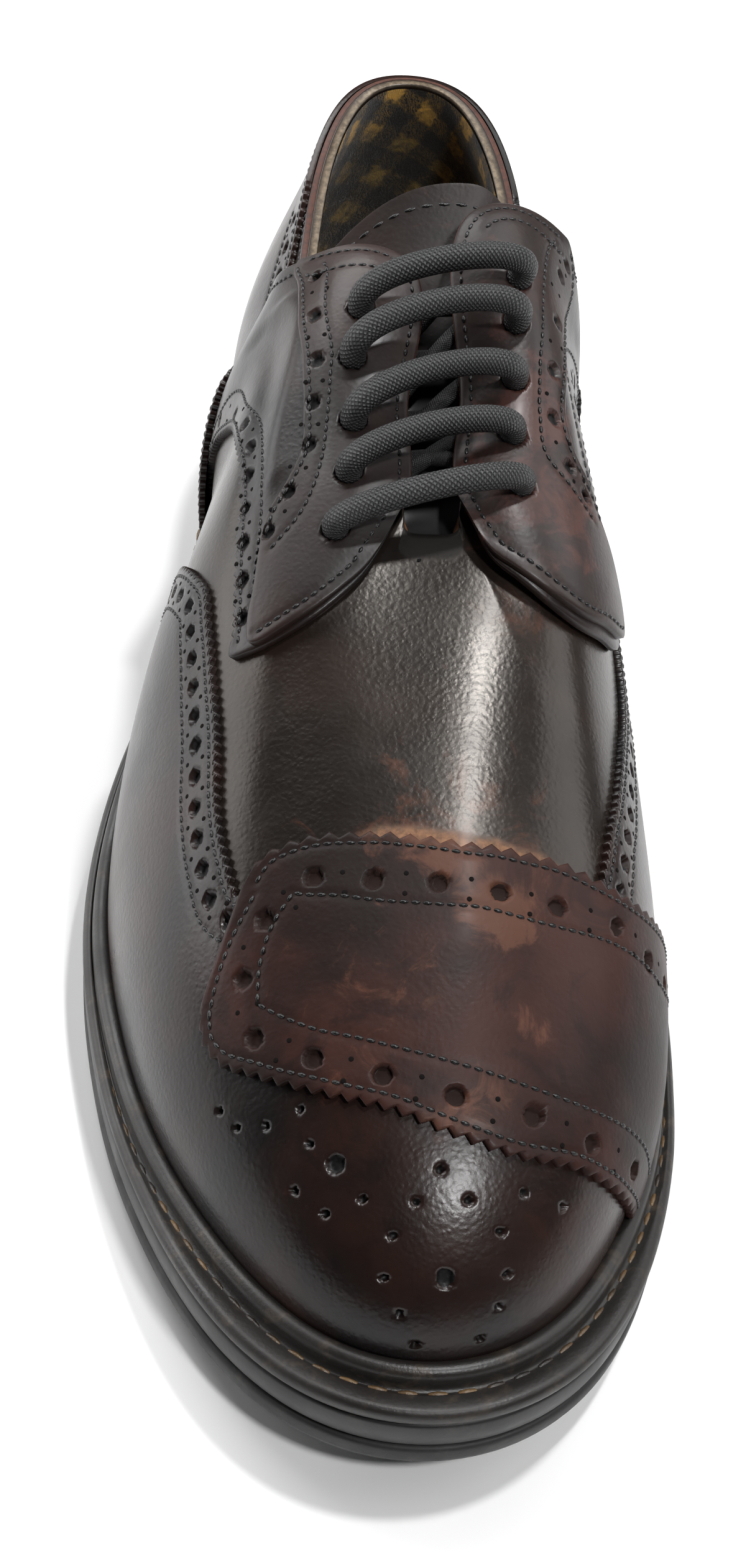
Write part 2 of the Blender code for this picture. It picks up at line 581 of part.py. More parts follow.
# Upper and the leather pieces laid on it, two layers deep.
whole_upper()
FIRST = SEAM_GAP
SECOND = 2 * SEAM_GAP + LEATHER
OVERLAY_BASE = ((16.2, OVERLAY_FOOT), (27.8, OVERLAY_FOOT))
OPEN_TOP = 0.985
overlay("wing", OVERLAY_BASE, WING_TOP, FIRST, FIRST + LEATHER)
overlay("toe_strap", STRAP_FOOT, STRAP_TOP, SECOND, SECOND + LEATHER)
overlay("quarter_lateral", QUARTER_OUTER_FOOT, ((11.0, OPEN_TOP), (19.42, OPEN_TOP)), FIRST, FIRST + LEATHER)
overlay("quarter_medial", QUARTER_INNER_FOOT, ((2.8, OPEN_TOP), (11.0, OPEN_TOP)), FIRST, FIRST + LEATHER)
overlay("facing_lateral", FACING_OUTER_FOOT, ((15.25, OPEN_TOP), (19.42, OPEN_TOP)), SECOND, SECOND + LEATHER)
overlay("facing_medial", FACING_INNER_FOOT, ((2.8, OPEN_TOP), (6.75, OPEN_TOP)), SECOND, SECOND + LEATHER)
overlay("counter", ((6.75, OVERLAY_FOOT), (15.25, OVERLAY_FOOT)), COUNTER_TOP, SECOND, SECOND + LEATHER)

# Tongue and lace.
tongue_sheet()
for number, values in enumerate(LACES, start=1):
    lace_bar("lace_bar_" + str(number), dict(zip(LACE_COLUMNS, values)))

# Stand the shoe with its box centred on the origin and its sole on the floor.
every = np.concatenate([verts for _, verts, _ in parts])
lowest = every.min(axis=0)
highest = every.max(axis=0)
origin = np.array(((lowest[0] + highest[0]) / 2, (lowest[1] + highest[1]) / 2, lowest[2]))
shoe = bpy.data.collections.new(COLLECTION)
bpy.context.scene.collection.children.link(shoe)
for node, node_verts, node_faces in parts:
    add_object(node, node_verts, node_faces, origin, shoe)
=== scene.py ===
"""Looks of a right brogue shoe: burnished leather overlays, punched edges, waxed lace and a stitched sole."""
import math

import bpy
import numpy as np
from mathutils import Matrix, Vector
from mathutils.kdtree import KDTree


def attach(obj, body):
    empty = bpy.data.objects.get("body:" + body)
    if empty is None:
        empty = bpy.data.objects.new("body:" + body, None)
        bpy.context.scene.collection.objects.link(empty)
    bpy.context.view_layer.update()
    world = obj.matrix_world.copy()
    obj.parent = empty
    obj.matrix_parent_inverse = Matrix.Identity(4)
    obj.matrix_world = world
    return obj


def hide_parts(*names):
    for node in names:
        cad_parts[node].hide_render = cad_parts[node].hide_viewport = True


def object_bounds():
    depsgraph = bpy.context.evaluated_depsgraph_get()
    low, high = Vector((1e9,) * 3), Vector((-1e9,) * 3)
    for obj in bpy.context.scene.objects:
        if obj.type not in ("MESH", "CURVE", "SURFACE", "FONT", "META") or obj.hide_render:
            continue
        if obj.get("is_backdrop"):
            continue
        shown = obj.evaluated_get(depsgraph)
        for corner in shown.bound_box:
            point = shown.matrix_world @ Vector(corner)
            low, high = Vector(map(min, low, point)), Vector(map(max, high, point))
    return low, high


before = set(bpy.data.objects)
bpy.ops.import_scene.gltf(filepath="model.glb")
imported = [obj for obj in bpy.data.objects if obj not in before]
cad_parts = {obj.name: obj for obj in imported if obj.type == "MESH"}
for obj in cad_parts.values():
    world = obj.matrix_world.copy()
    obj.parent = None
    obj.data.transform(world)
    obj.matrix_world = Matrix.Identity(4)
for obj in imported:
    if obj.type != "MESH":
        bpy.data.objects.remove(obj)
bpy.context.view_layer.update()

# Outsole: the black rubber layer that the shoe walks on, moulded with a rolled edge and glued under the midsole.
# Its outline is the foot of the last, which every other piece is cut on too, so the last is drawn here.
# Sizes are millimetres from the toe end of the last: x to the inner side, y from toe to heel, z up.
MM = 0.001
BOX_CENTRE = np.array((-3.858, 154.723, 0.0))
TOE_SHIFT = 1.5
TOE_SHIFT_REACH = 110.0
SEAM_GAP = 0.3
SOLE_EDGE = 15.0
WELT_THICK = 3.2
MIDSOLE_THICK = 6.4
SECTION_COLUMNS = ("name", "foot_y", "foot_outer", "foot_inner", "top_y", "top_outer", "top_inner",
                   "top_z", "lean", "reach", "slope", "top_reach", "inner_back", "inner_rise")
SECTIONS = (
    ("toe_tip", 14.0, 0.0, 0.0, 138.0, 0.0, 0.0, 88.2, 4, 30, 26, 54, 0.0, 0.0),
    ("toe_corner", 23.5, 20.5, 21.0, 138.5, 4.0, 4.0, 88.2, 6, 31, 25.5, 52, 0.0, 0.0),
    ("toe_side", 50.0, 37.5, 36.5, 140.8, 4.6, 4.6, 88.8, 7, 34, 21, 45, 0.0, 0.0),
    ("ball_front", 77.0, 47.0, 43.0, 144.5, 4.9, 5.2, 90.2, 6, 34, 13, 37, 0.0, 0.0),
    ("ball", 110.0, 52.5, 44.5, 153.0, 4.9, 5.2, 94.0, 4, 32, -4, 30, 0.5, 0.5),
    ("waist_front", 146.0, 49.0, 39.0, 167.0, 4.7, 5.2, 100.5, 6, 36, -12, 30, 2.0, 2.5),
    ("waist", 180.0, 40.0, 31.0, 188.0, 5.5, 6.0, 110.5, 8, 35, -16, 25, 6.0, 7.0),
    ("corner", 207.0, 37.0, 29.0, 200.0, 26.0, 26.5, 103.0, 11, 34, 72, 20, 6.0, 4.0),
    ("quarter", 233.0, 34.0, 30.5, 227.0, 24.0, 24.5, 81.0, 9, 26, 86, 16, 1.0, 1.0),
    ("heel_side", 262.0, 32.0, 31.5, 258.0, 20.5, 21.5, 88.0, 8, 26, 86, 16, 0.0, 0.0),
    ("heel_corner", 289.0, 21.5, 21.5, 284.0, 13.0, 13.5, 97.5, 9, 26, 86, 16, 0.0, 0.0),
    ("heel_back", 300.0, 0.0, 0.0, 291.5, 0.0, 0.0, 100.0, 9, 26, 86, 16, 0.0, 0.0),
)
UNDERSIDE = ((0, 10.0), (30, 5.6), (60, 1.4), (78, 0.0), (112, 0.0), (130, 1.7), (150, 5.0),
             (185, 11.5), (220, 18.0), (250, 21.5), (280, 23.0), (310, 24.0))
WELT_REACH = ((0, 9.8), (25, 9.3), (60, 7.2), (110, 6.0), (180, 6.0), (230, 5.0), (310, 5.0))
RING_STEPS = 16
# Steps of ring place and of height for measuring slopes, and the least distance that still gives a direction.
U_STEP = 0.01
H_STEP = 0.002
LEVEL_LEAST = 15.0


def eased(t, start, end, start_slope, end_slope):
    """Smooth run between two values, with the slopes at its ends."""
    value = (2 * t**3 - 3 * t**2 + 1) * start + (t**3 - 2 * t**2 + t) * start_slope
    return value + (3 * t**2 - 2 * t**3) * end + (t**3 - t**2) * end_slope


def arched(t, first, second, third, final):
    """Curve that leaves the first point towards the second and reaches the final one from the third."""
    k = 1.0 - t
    return k**3 * first + 3 * k * k * t * second + 3 * k * t * t * third + t**3 * final


def run_length(points):
    """Length along a line of points, at each of them."""
    return np.concatenate([[0.0], np.cumsum(np.linalg.norm(np.diff(points, axis=0), axis=1))])


def picked(at, length, rows):
    """Rows of values read off at places along their length."""
    return np.stack([np.interp(at, length, column) for column in rows.T], axis=1)


def smooth_table(table, x):
    """Values between the rows of a table, with no overshoot."""
    xs = np.array([row[0] for row in table], float)
    ys = np.array([row[1] for row in table], float)
    x = np.clip(np.asarray(x, float), xs[0], xs[-1])
    width = np.diff(xs)
    rise = np.diff(ys) / width
    slope = np.zeros(len(xs))
    slope[0] = rise[0]
    slope[-1] = rise[-1]
    same_way = rise[:-1] * rise[1:] > 0
    total = np.where(same_way, rise[:-1] + rise[1:], 1.0)
    slope[1:-1] = np.where(same_way, 2.0 * rise[:-1] * rise[1:] / total, 0.0)
    i = np.clip(np.searchsorted(xs, x) - 1, 0, len(xs) - 2)
    t = (x - xs[i]) / width[i]
    return eased(t, ys[i], ys[i + 1], width[i] * slope[i], width[i] * slope[i + 1])


def underside(y):
    return smooth_table(UNDERSIDE, y)


def sole_top(y):
    return underside(y) + SOLE_EDGE


def unit(vectors):
    return vectors / np.maximum(np.linalg.norm(vectors, axis=-1, keepdims=True), 1e-9)


def section_ring():
    """Four shaping points a section, round the shoe: toe, inner side, heel, outer side."""
    rows = [dict(zip(SECTION_COLUMNS, row)) for row in SECTIONS]
    order = [(row, 1.0) for row in rows] + [(row, -1.0) for row in rows[-2:0:-1]]
    foot = []
    top = []
    for row, side in order:
        inner = side > 0
        y = row["foot_y"]
        near_toe = max(0.0, (TOE_SHIFT_REACH - y) / TOE_SHIFT_REACH)
        foot_x = row["foot_inner"] if inner else -row["foot_outer"]
        top_x = row["top_inner"] if inner else -row["top_outer"]
        back = row["inner_back"] if inner else 0.0
        rise = row["inner_rise"] if inner else 0.0
        foot.append((TOE_SHIFT * near_toe**2 + foot_x, y, float(sole_top(y)) + SEAM_GAP))
        top.append((top_x, row["top_y"] + back, row["top_z"] + rise))
    foot = np.array(foot)
    top = np.array(top)
    along = np.roll(foot, -1, axis=0) - np.roll(foot, 1, axis=0)
    outward = unit(np.stack([along[:, 1], -along[:, 0], 0.0 * along[:, 0]], axis=1))
    lean = np.radians([row["lean"] for row, _ in order])[:, None]
    slope = np.radians([row["slope"] for row, _ in order])[:, None]
    reach = np.array([row["reach"] for row, _ in order], float)[:, None]
    top_reach = np.array([row["top_reach"] for row, _ in order], float)[:, None]
    up = np.array((0.0, 0.0, 1.0))
    level = foot - top
    level[:, 2] = 0.0
    distance = np.linalg.norm(level, axis=1)[:, None]
    toward_foot = np.where(distance > LEVEL_LEAST, level / np.maximum(distance, 1.0), outward)
    low = foot + reach * (np.sin(lean) * outward + np.cos(lean) * up)
    high = top + top_reach * (np.cos(slope) * toward_foot - np.sin(slope) * up)
    return np.stack([foot, low, high, top], axis=1)


SHAPE = section_ring()
RING_COUNT = len(SHAPE)
HALF_RING = RING_COUNT / 2
SPLINE = np.zeros((RING_COUNT, RING_COUNT))
for i in range(RING_COUNT):
    SPLINE[i, i] = 4.0
    SPLINE[i, (i + 1) % RING_COUNT] = 1.0
    SPLINE[i, (i - 1) % RING_COUNT] = 1.0
SHAPE_WEIGHTS = np.linalg.solve(SPLINE / 6.0, SHAPE.reshape(RING_COUNT, 12))


def last(u, h):
    """Point of the last's surface at ring place u and height h."""
    u, h = np.broadcast_arrays(np.asarray(u, float), np.asarray(h, float))
    place = np.mod(u, RING_COUNT)
    i = np.floor(place).astype(int) % RING_COUNT
    t = (place - np.floor(place))[..., None]
    near = SHAPE_WEIGHTS[(i - 1) % RING_COUNT] * (1 - t)**3 + SHAPE_WEIGHTS[i] * (3 * t**3 - 6 * t**2 + 4)
    far = SHAPE_WEIGHTS[(i + 1) % RING_COUNT] * (3 * t + 3 * t**2 - 3 * t**3 + 1)
    far = far + SHAPE_WEIGHTS[(i + 2) % RING_COUNT] * t**3
    p = ((near + far) / 6.0).reshape(u.shape + (4, 3))
    p[..., 0, 2] = sole_top(p[..., 0, 1]) + SEAM_GAP
    return arched(h[..., None], p[..., 0, :], p[..., 1, :], p[..., 2, :], p[..., 3, :])


def last_slopes(u, h):
    """How the last's surface runs with ring place and with height."""
    above = np.minimum(h + H_STEP, 1.0)
    below = np.maximum(h - H_STEP, 0.0)
    along_u = (last(u + U_STEP, h) - last(u - U_STEP, h)) / (2 * U_STEP)
    along_h = (last(u, above) - last(u, below)) / (above - below)[..., None]
    return along_u, along_h


def last_normal(u, h):
    """Outward direction of the last's surface."""
    u, h = np.broadcast_arrays(np.asarray(u, float), np.asarray(h, float))
    along_u, along_h = last_slopes(u, np.clip(h, 0.0, 1.0))
    return unit(np.cross(along_u, along_h))


RING = np.linspace(0.0, RING_COUNT, RING_COUNT * RING_STEPS + 1)
FOOT = last(RING, 0.0)
FOOT_ALONG = last(RING + 2 * U_STEP, 0.0) - last(RING - 2 * U_STEP, 0.0)
FOOT_OUT = unit(np.stack([FOOT_ALONG[:, 1], -FOOT_ALONG[:, 0], 0.0 * FOOT_ALONG[:, 0]], axis=1))
REACH = smooth_table(WELT_REACH, FOOT[:, 1])
SPINE = (FOOT + FOOT[::-1]) / 2.0


def outline(offset, level, z_of=sole_top):
    """Foot of the last moved outward, at a level above the sole's own line."""
    points = FOOT + FOOT_OUT * np.reshape(offset, (-1, 1))
    points[:, 2] = z_of(points[:, 1]) + level
    return points


def spine(level, z_of=sole_top):
    """Middle line of the sole, which closes a layer of it."""
    points = SPINE.copy()
    points[:, 2] = z_of(points[:, 1]) + level
    return points


def laid_sheet(name, points, joined=False, **fields):
    """A grid laid on rows and columns of points in millimetres of the last, with values at each point."""
    wide, tall = points.shape[:2]
    bpy.ops.object.select_all(action="DESELECT")
    bpy.ops.mesh.primitive_grid_add(x_subdivisions=wide - 1, y_subdivisions=tall - 1, size=1.0)
    piece = bpy.context.object
    piece.name = name
    piece.data.name = name
    place = (np.swapaxes(points, 0, 1).reshape(-1, 3) - BOX_CENTRE) * MM
    piece.data.vertices.foreach_set("co", place.ravel())
    for field, values in fields.items():
        layer = piece.data.attributes.new(field, "FLOAT", "POINT")
        layer.data.foreach_set("value", np.ascontiguousarray(values.T, dtype=np.float32).ravel())
    if joined:
        bpy.ops.object.mode_set(mode="EDIT")
        bpy.ops.mesh.select_all(action="SELECT")
        bpy.ops.mesh.remove_doubles(threshold=2e-6)
        bpy.ops.object.mode_set(mode="OBJECT")
    piece.data.update()
    bpy.ops.object.shade_smooth()
    return piece


def finished(piece, material, slot_name, *nodes):
    """Gives a piece its material and its body, and hides the solids that it stands for."""
    piece.data.materials.clear()
    piece.data.materials.append(material)
    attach(piece, "root")
    if nodes:
        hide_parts(*nodes)
    return piece


def add_node(tree, kind, inputs=None, **settings):
    """One shader node; inputs maps a socket to a value or to another node's output."""
    node = tree.nodes.new(kind)
    for name, value in settings.items():
        setattr(node, name, value)
    for name, value in (inputs or {}).items():
        if isinstance(value, bpy.types.NodeSocket):
            tree.links.new(value, node.inputs[name])
        else:
            node.inputs[name].default_value = value
    return node


def blended(tree, factor, first, second, mode="MIX"):
    """Colour between two others."""
    node = add_node(tree, "ShaderNodeMix", data_type="RGBA", blend_type=mode)
    for index, value in ((0, factor), (6, first), (7, second)):
        if isinstance(value, bpy.types.NodeSocket):
            tree.links.new(value, node.inputs[index])
        else:
            node.inputs[index].default_value = value
    return node.outputs[2]


def sums(tree, operation, first, second=0.0):
    """One step of arithmetic on values."""
    return add_node(tree, "ShaderNodeMath", {0: first, 1: second}, operation=operation).outputs[0]


def ranged(tree, value, low, high, new_low=0.0, new_high=1.0, kind="SMOOTHSTEP"):
    """A value carried from one range to another, and held at its ends."""
    inputs = {"Value": value, "From Min": low, "From Max": high, "To Min": new_low, "To Max": new_high}
    return add_node(tree, "ShaderNodeMapRange", inputs, interpolation_type=kind).outputs[0]


def noise(tree, place, scale, detail=4.0, rough=0.55, spread=0.0):
    inputs = {"Vector": place, "Scale": scale, "Detail": detail, "Roughness": rough, "Distortion": spread}
    return add_node(tree, "ShaderNodeTexNoise", inputs).outputs["Fac"]


def object_place(tree):
    return add_node(tree, "ShaderNodeTexCoord").outputs["Object"]


def field(tree, name):
    """Value that the mesh holds at each of its points."""
    return add_node(tree, "ShaderNodeAttribute", attribute_name=name).outputs["Fac"]


def new_material(name, **values):
    """A material with the values that are the same all over it; returns it with its nodes and its shader."""
    material = bpy.data.materials.new(name)
    material.use_nodes = True
    tree = material.node_tree
    shader = tree.nodes["Principled BSDF"]
    for socket, value in values.items():
        shader.inputs[socket.replace("_", " ")].default_value = value
    return material, tree, shader


def relief(tree, shader, height, depth, strength=1.0):
    """Bump of a depth in millimetres into a shader's normal."""
    bump = add_node(tree, "ShaderNodeBump", {"Height": height, "Strength": strength, "Distance": depth * MM})
    tree.links.new(bump.outputs["Normal"], shader.inputs["Normal"])


def black_rubber(name, colour, dust, rough_low, rough_high, grain_mm, depth):
    """Black rubber or edge-dyed sole leather: matt and shiny patches, scuffs and a little dust."""
    material, tree, shader = new_material(name, Specular_IOR_Level=0.5)
    place = object_place(tree)
    patches = noise(tree, place, 60.0, 5.0, 0.6)
    grain = noise(tree, place, 1000.0 / grain_mm, 3.0, 0.6)
    worn = ranged(tree, noise(tree, place, 190.0, 6.0, 0.65, 0.4), 0.52, 0.75)
    tone = blended(tree, worn, (*colour, 1.0), (*dust, 1.0))
    tree.links.new(tone, shader.inputs["Base Color"])
    tree.links.new(ranged(tree, patches, 0.3, 0.7, rough_low, rough_high), shader.inputs["Roughness"])
    relief(tree, shader, grain, depth)
    return material


OUTSOLE_TOP = WELT_THICK + MIDSOLE_THICK + 2 * SEAM_GAP
outsole = laid_sheet("outsole_rubber", np.stack([
    spine(0.0, underside),
    outline(-14.0, 0.0, underside),
    outline(-4.0, 0.0, underside),
    outline(REACH - 1.6, 0.0, underside),
    outline(REACH - 0.8, 0.2, underside),
    outline(REACH - 0.2, 0.8, underside),
    outline(REACH + 0.2, 2.0, underside),
    outline(REACH + 0.2, -OUTSOLE_TOP - 0.8),
    outline(REACH - 0.1, -OUTSOLE_TOP - 0.3),
    outline(REACH - 0.6, -OUTSOLE_TOP),
    spine(-OUTSOLE_TOP),
], axis=1), joined=True)
SOLE_BLACK = black_rubber("sole_black", (0.013, 0.0125, 0.0125), (0.034, 0.031, 0.029), 0.45, 0.65, 0.5, 0.05)
finished(outsole, SOLE_BLACK, "outsole", "outsole")

# Heel: stacked lifts of black rubber under the heel seat, trimmed flush with the sole edge,
# with a straight breast and a thin wearing piece at the floor.
HEEL_BREAST_Y = 231.0
HEEL_INSET = 0.6
HEEL_MIDDLE = np.array((0.0, 266.0, 0.0))
LIFT_LINES = (6.5, 11.5, 16.0)
LIFT_GROOVE = 0.35
LIFT_GROOVE_HALF = 0.35
BREAST_STEPS = 24

heel_edge = FOOT + FOOT_OUT * (REACH - HEEL_INSET)[:, None]
heel_edge = heel_edge[heel_edge[:, 1] > HEEL_BREAST_Y]
breast_step = np.linspace(0.0, 1.0, BREAST_STEPS + 1)[1:, None]
breast_start = heel_edge[-1] * (1, 0, 1) + np.array((0.0, HEEL_BREAST_Y, 0.0))
breast_end = heel_edge[0] * (1, 0, 1) + np.array((0.0, HEEL_BREAST_Y, 0.0))
breast = breast_start + (breast_end - breast_start) * breast_step
heel_loop = np.concatenate([heel_edge, breast_start[None], breast, heel_edge[:1]])


def heel_ring(inset, share, rise):
    """Heel outline drawn in toward its middle, at a share of the heel's height and millimetres above that."""
    points = heel_loop + unit((HEEL_MIDDLE - heel_loop) * (1, 1, 0)) * inset
    points[:, 2] = (underside(points[:, 1]) - SEAM_GAP) * share + rise
    return points


def heel_middle(share):
    points = np.repeat(HEEL_MIDDLE[None], len(heel_loop), axis=0)
    points[:, 2] = (underside(points[:, 1]) - SEAM_GAP) * share
    return points


heel_rows = [heel_middle(0.0), heel_ring(1.0, 0.0, 0.0), heel_ring(0.3, 0.0, 0.3), heel_ring(0.0, 0.0, 1.0)]
for level in LIFT_LINES:
    heel_rows.append(heel_ring(0.0, 0.0, level - LIFT_GROOVE_HALF))
    heel_rows.append(heel_ring(LIFT_GROOVE, 0.0, level))
    heel_rows.append(heel_ring(0.0, 0.0, level + LIFT_GROOVE_HALF))
heel_rows += [heel_ring(0.0, 1.0, -0.4), heel_ring(0.4, 1.0, 0.0), heel_middle(1.0)]
heel = laid_sheet("heel_stack", np.stack(heel_rows, axis=1), joined=True)
finished(heel, SOLE_BLACK, "heel", "heel")

# Midsole: the thick black layer between outsole and welt, cemented to both, with a rounded edge.
# Its middle is filled up to the insole.
MIDSOLE_TOP = WELT_THICK + SEAM_GAP
MIDSOLE_INSIDE = 7.3
midsole = laid_sheet("midsole_layer", np.stack([
    spine(-MIDSOLE_TOP - MIDSOLE_THICK),
    outline(REACH - 1.2, -MIDSOLE_TOP - MIDSOLE_THICK),
    outline(REACH - 0.5, -MIDSOLE_TOP - MIDSOLE_THICK + 0.3),
    outline(REACH - 0.1, -MIDSOLE_TOP - MIDSOLE_THICK + 1.2),
    outline(REACH + 0.1, -MIDSOLE_TOP - 3.2),
    outline(REACH - 0.1, -MIDSOLE_TOP - 0.9),
    outline(REACH - 0.5, -MIDSOLE_TOP - 0.2),
    outline(REACH - 1.2, -MIDSOLE_TOP),
    outline(-MIDSOLE_INSIDE, -MIDSOLE_TOP),
    outline(-MIDSOLE_INSIDE, -0.1),
    spine(-0.1),
], axis=1), joined=True)
EDGE_BLACK = black_rubber("sole_edge_black", (0.012, 0.0115, 0.0115), (0.036, 0.033, 0.030), 0.36, 0.52, 0.8, 0.03)
finished(midsole, EDGE_BLACK, "midsole", "midsole")

# Welt: a waxed black leather strip sewn to the foot of the upper. A round storm rib closes the seam,
# tan thread runs in a channel beside the rib, and the outer lip is burnished to a shine.
WELT_INSIDE = 7.0
RIB_INSIDE = 0.8
RIB_OUTSIDE = np.minimum(4.4, REACH - 1.0)
RIB_HEIGHT = 3.4
RIB_FOOT = 1.5
CHANNEL_DEPTH = np.clip((REACH - 5.2) / 1.2, 0.0, 1.0) * 0.7
LIP = np.maximum(REACH - 1.4, RIB_OUTSIDE + 0.1)
CHANNEL_OUT = np.minimum(RIB_OUTSIDE + 1.7, LIP)
RIB_WIDE = RIB_OUTSIDE - RIB_INSIDE
rib_rows = []
for turn in np.radians(np.arange(0.0, 181.0, 20.0)):
    middle = RIB_INSIDE + RIB_WIDE * (0.5 + 0.5 * math.cos(turn))
    rib_rows.append(outline(middle, RIB_FOOT + (RIB_HEIGHT - RIB_FOOT) * math.sin(turn)))
welt = laid_sheet("welt_strip", np.stack([
    outline(-WELT_INSIDE, -WELT_THICK),
    outline(REACH - 0.6, -WELT_THICK),
    outline(REACH, -WELT_THICK + 0.5),
    outline(REACH + 0.25, -1.7),
    outline(REACH + 0.1, -0.9),
    outline(REACH - 0.4, -0.3),
    outline(REACH - 0.9, 0.0),
    outline(LIP, 0.0),
    outline(CHANNEL_OUT, 0.0),
    outline(CHANNEL_OUT * 0.6 + RIB_OUTSIDE * 0.4, -CHANNEL_DEPTH),
    outline(RIB_OUTSIDE + 0.2, -CHANNEL_DEPTH),
    *rib_rows,
    outline(RIB_INSIDE, 0.0),
    outline(-WELT_INSIDE, 0.0),
    outline(-WELT_INSIDE, -WELT_THICK),
], axis=1), joined=True)
WELT_BLACK = black_rubber("welt_black", (0.013, 0.011, 0.010), (0.052, 0.038, 0.026), 0.36, 0.54, 0.7, 0.06)
finished(welt, WELT_BLACK, "welt", "welt")


def beads(name, segments, rings):
    """A round bead as a new piece, with its points and faces."""
    bpy.ops.object.select_all(action="DESELECT")
    bpy.ops.mesh.primitive_uv_sphere_add(segments=segments, ring_count=rings, radius=1.0)
    piece = bpy.context.object
    piece.name = name
    one = np.array([vertex.co for vertex in piece.data.vertices])
    return piece, one, [tuple(face.vertices) for face in piece.data.polygons]


def strewn(piece, faces, copies, material, slot_name):
    """Fills a piece with shaped copies of its bead, given in millimetres of the last."""
    polygons = []
    for k, copy in enumerate(copies):
        polygons += [tuple(v + k * len(copy) for v in face) for face in faces]
    piece.data.clear_geometry()
    piece.data.from_pydata(((np.concatenate(copies) - BOX_CENTRE) * MM).tolist(), [], polygons)
    piece.data.update()
    bpy.ops.object.shade_smooth()
    return finished(piece, material, slot_name)


def thread(name, lines, material, slot_name, pitch, radius, share=0.84, sink=0.45):
    """Rows of stitches along lines of points with their directions out of the leather."""
    piece, one, faces = beads(name, 6, 4)
    one = one[:, (2, 0, 1)]
    stitches = []
    for points, normals in lines:
        step = run_length(points)
        count = max(1, int(step[-1] / pitch))
        at = (np.arange(count) + 0.5) * step[-1] / count
        centre = picked(at, step, points)
        out = unit(picked(at, step, normals))
        run = unit(picked(at + pitch / 2, step, points) - picked(at - pitch / 2, step, points))
        across = unit(np.cross(out, run))
        half = step[-1] / count * share / 2
        for k in range(count):
            body = one[:, :1] * run[k] * half + one[:, 1:2] * across[k] * radius + one[:, 2:] * out[k] * radius
            stitches.append(centre[k] + body - out[k] * radius * sink)
    return strewn(piece, faces, stitches, material, slot_name)


def waxed_thread(name, colour, dark, patches=700.0):
    """Twisted waxed thread, darker in patches."""
    material, tree, shader = new_material(name, Roughness=0.34)
    place = object_place(tree)
    tone = ranged(tree, noise(tree, place, patches, 3.0), 0.38, 0.6)
    tree.links.new(blended(tree, tone, (*colour, 1.0), (*dark, 1.0)), shader.inputs["Base Color"])
    relief(tree, shader, noise(tree, place, 4000.0, 2.0), 0.08)
    return material


WELT_THREAD = waxed_thread("welt_thread", (0.15, 0.088, 0.036), (0.016, 0.012, 0.010), 55.0)
WELT_STITCH_PITCH = 4.6
WELT_STITCH_RADIUS = 0.55
WELT_STITCH_SHARE = 0.80
WELT_STITCH_SINK = 0.5
UPWARD = np.repeat(np.array((0.0, 0.0, 1.0))[None], len(RING), axis=0)
seam_line = outline(RIB_OUTSIDE + 0.85, 0.05 - CHANNEL_DEPTH)
front_part = seam_line[:, 1] < HEEL_BREAST_Y
inner_run = front_part & (RING < HALF_RING)
outer_run = front_part & (RING > HALF_RING)
welt_lines = [(seam_line[inner_run], UPWARD[inner_run]), (seam_line[outer_run], UPWARD[outer_run])]
thread("welt_stitches", welt_lines, WELT_THREAD, "welt", WELT_STITCH_PITCH, WELT_STITCH_RADIUS, WELT_STITCH_SHARE,
       WELT_STITCH_SINK)

# Insole: a tan leather sock on a board, laid inside the upper on the filled midsole.
# Its edge is rounded and stops short of the lining.
INSOLE_THICK = 2.5
INSOLE_INSET = 2.8
insole = laid_sheet("insole_sock", np.stack([
    spine(SEAM_GAP),
    outline(-INSOLE_INSET, SEAM_GAP),
    outline(-INSOLE_INSET, SEAM_GAP + INSOLE_THICK - 0.6),
    outline(-INSOLE_INSET - 0.5, SEAM_GAP + INSOLE_THICK),
    outline(-12.0, SEAM_GAP + INSOLE_THICK),
    spine(SEAM_GAP + INSOLE_THICK),
], axis=1), joined=True)
sock_leather, tree, shader = new_material("sock_leather", Specular_IOR_Level=0.35)
place = object_place(tree)
tone = ranged(tree, noise(tree, place, 45.0, 5.0), 0.3, 0.7)
tree.links.new(blended(tree, tone, (0.21, 0.115, 0.05, 1.0), (0.13, 0.068, 0.03, 1.0)), shader.inputs["Base Color"])
tree.links.new(ranged(tree, tone, 0.0, 1.0, 0.5, 0.68), shader.inputs["Roughness"])
relief(tree, shader, noise(tree, place, 1600.0, 3.0), 0.06)
finished(insole, sock_leather, "insole", "insole")

# Upper: the burnished brown vamp and lining pulled over the last and sewn to the welt. It is the base layer
# that the brogue overlays lie on, and its cut edge shows pale round the collar and the throat.
WALL = 2.0
LEATHER = 1.2
FIRST_LAYER = SEAM_GAP + LEATHER
SECOND_LAYER = 2 * SEAM_GAP + 2 * LEATHER
UPPER_ROWS = 150
# Soft folds of the quarters beside the facings: ring place and height of both ends, half width, height.
FOLD_COLUMNS = ("u0", "h0", "u1", "h1", "wide", "high")
FOLDS = (
    (15.7, 0.72, 17.25, 0.70, 3.6, 0.7),
    (15.6, 0.62, 17.15, 0.62, 4.5, -0.8),
    (5.0, 0.60, 6.6, 0.62, 4.5, -0.6),
)
# Millimetres that one step of ring place and of height cover on the quarters.
FOLD_SCALE = np.array((24.0, 105.0))


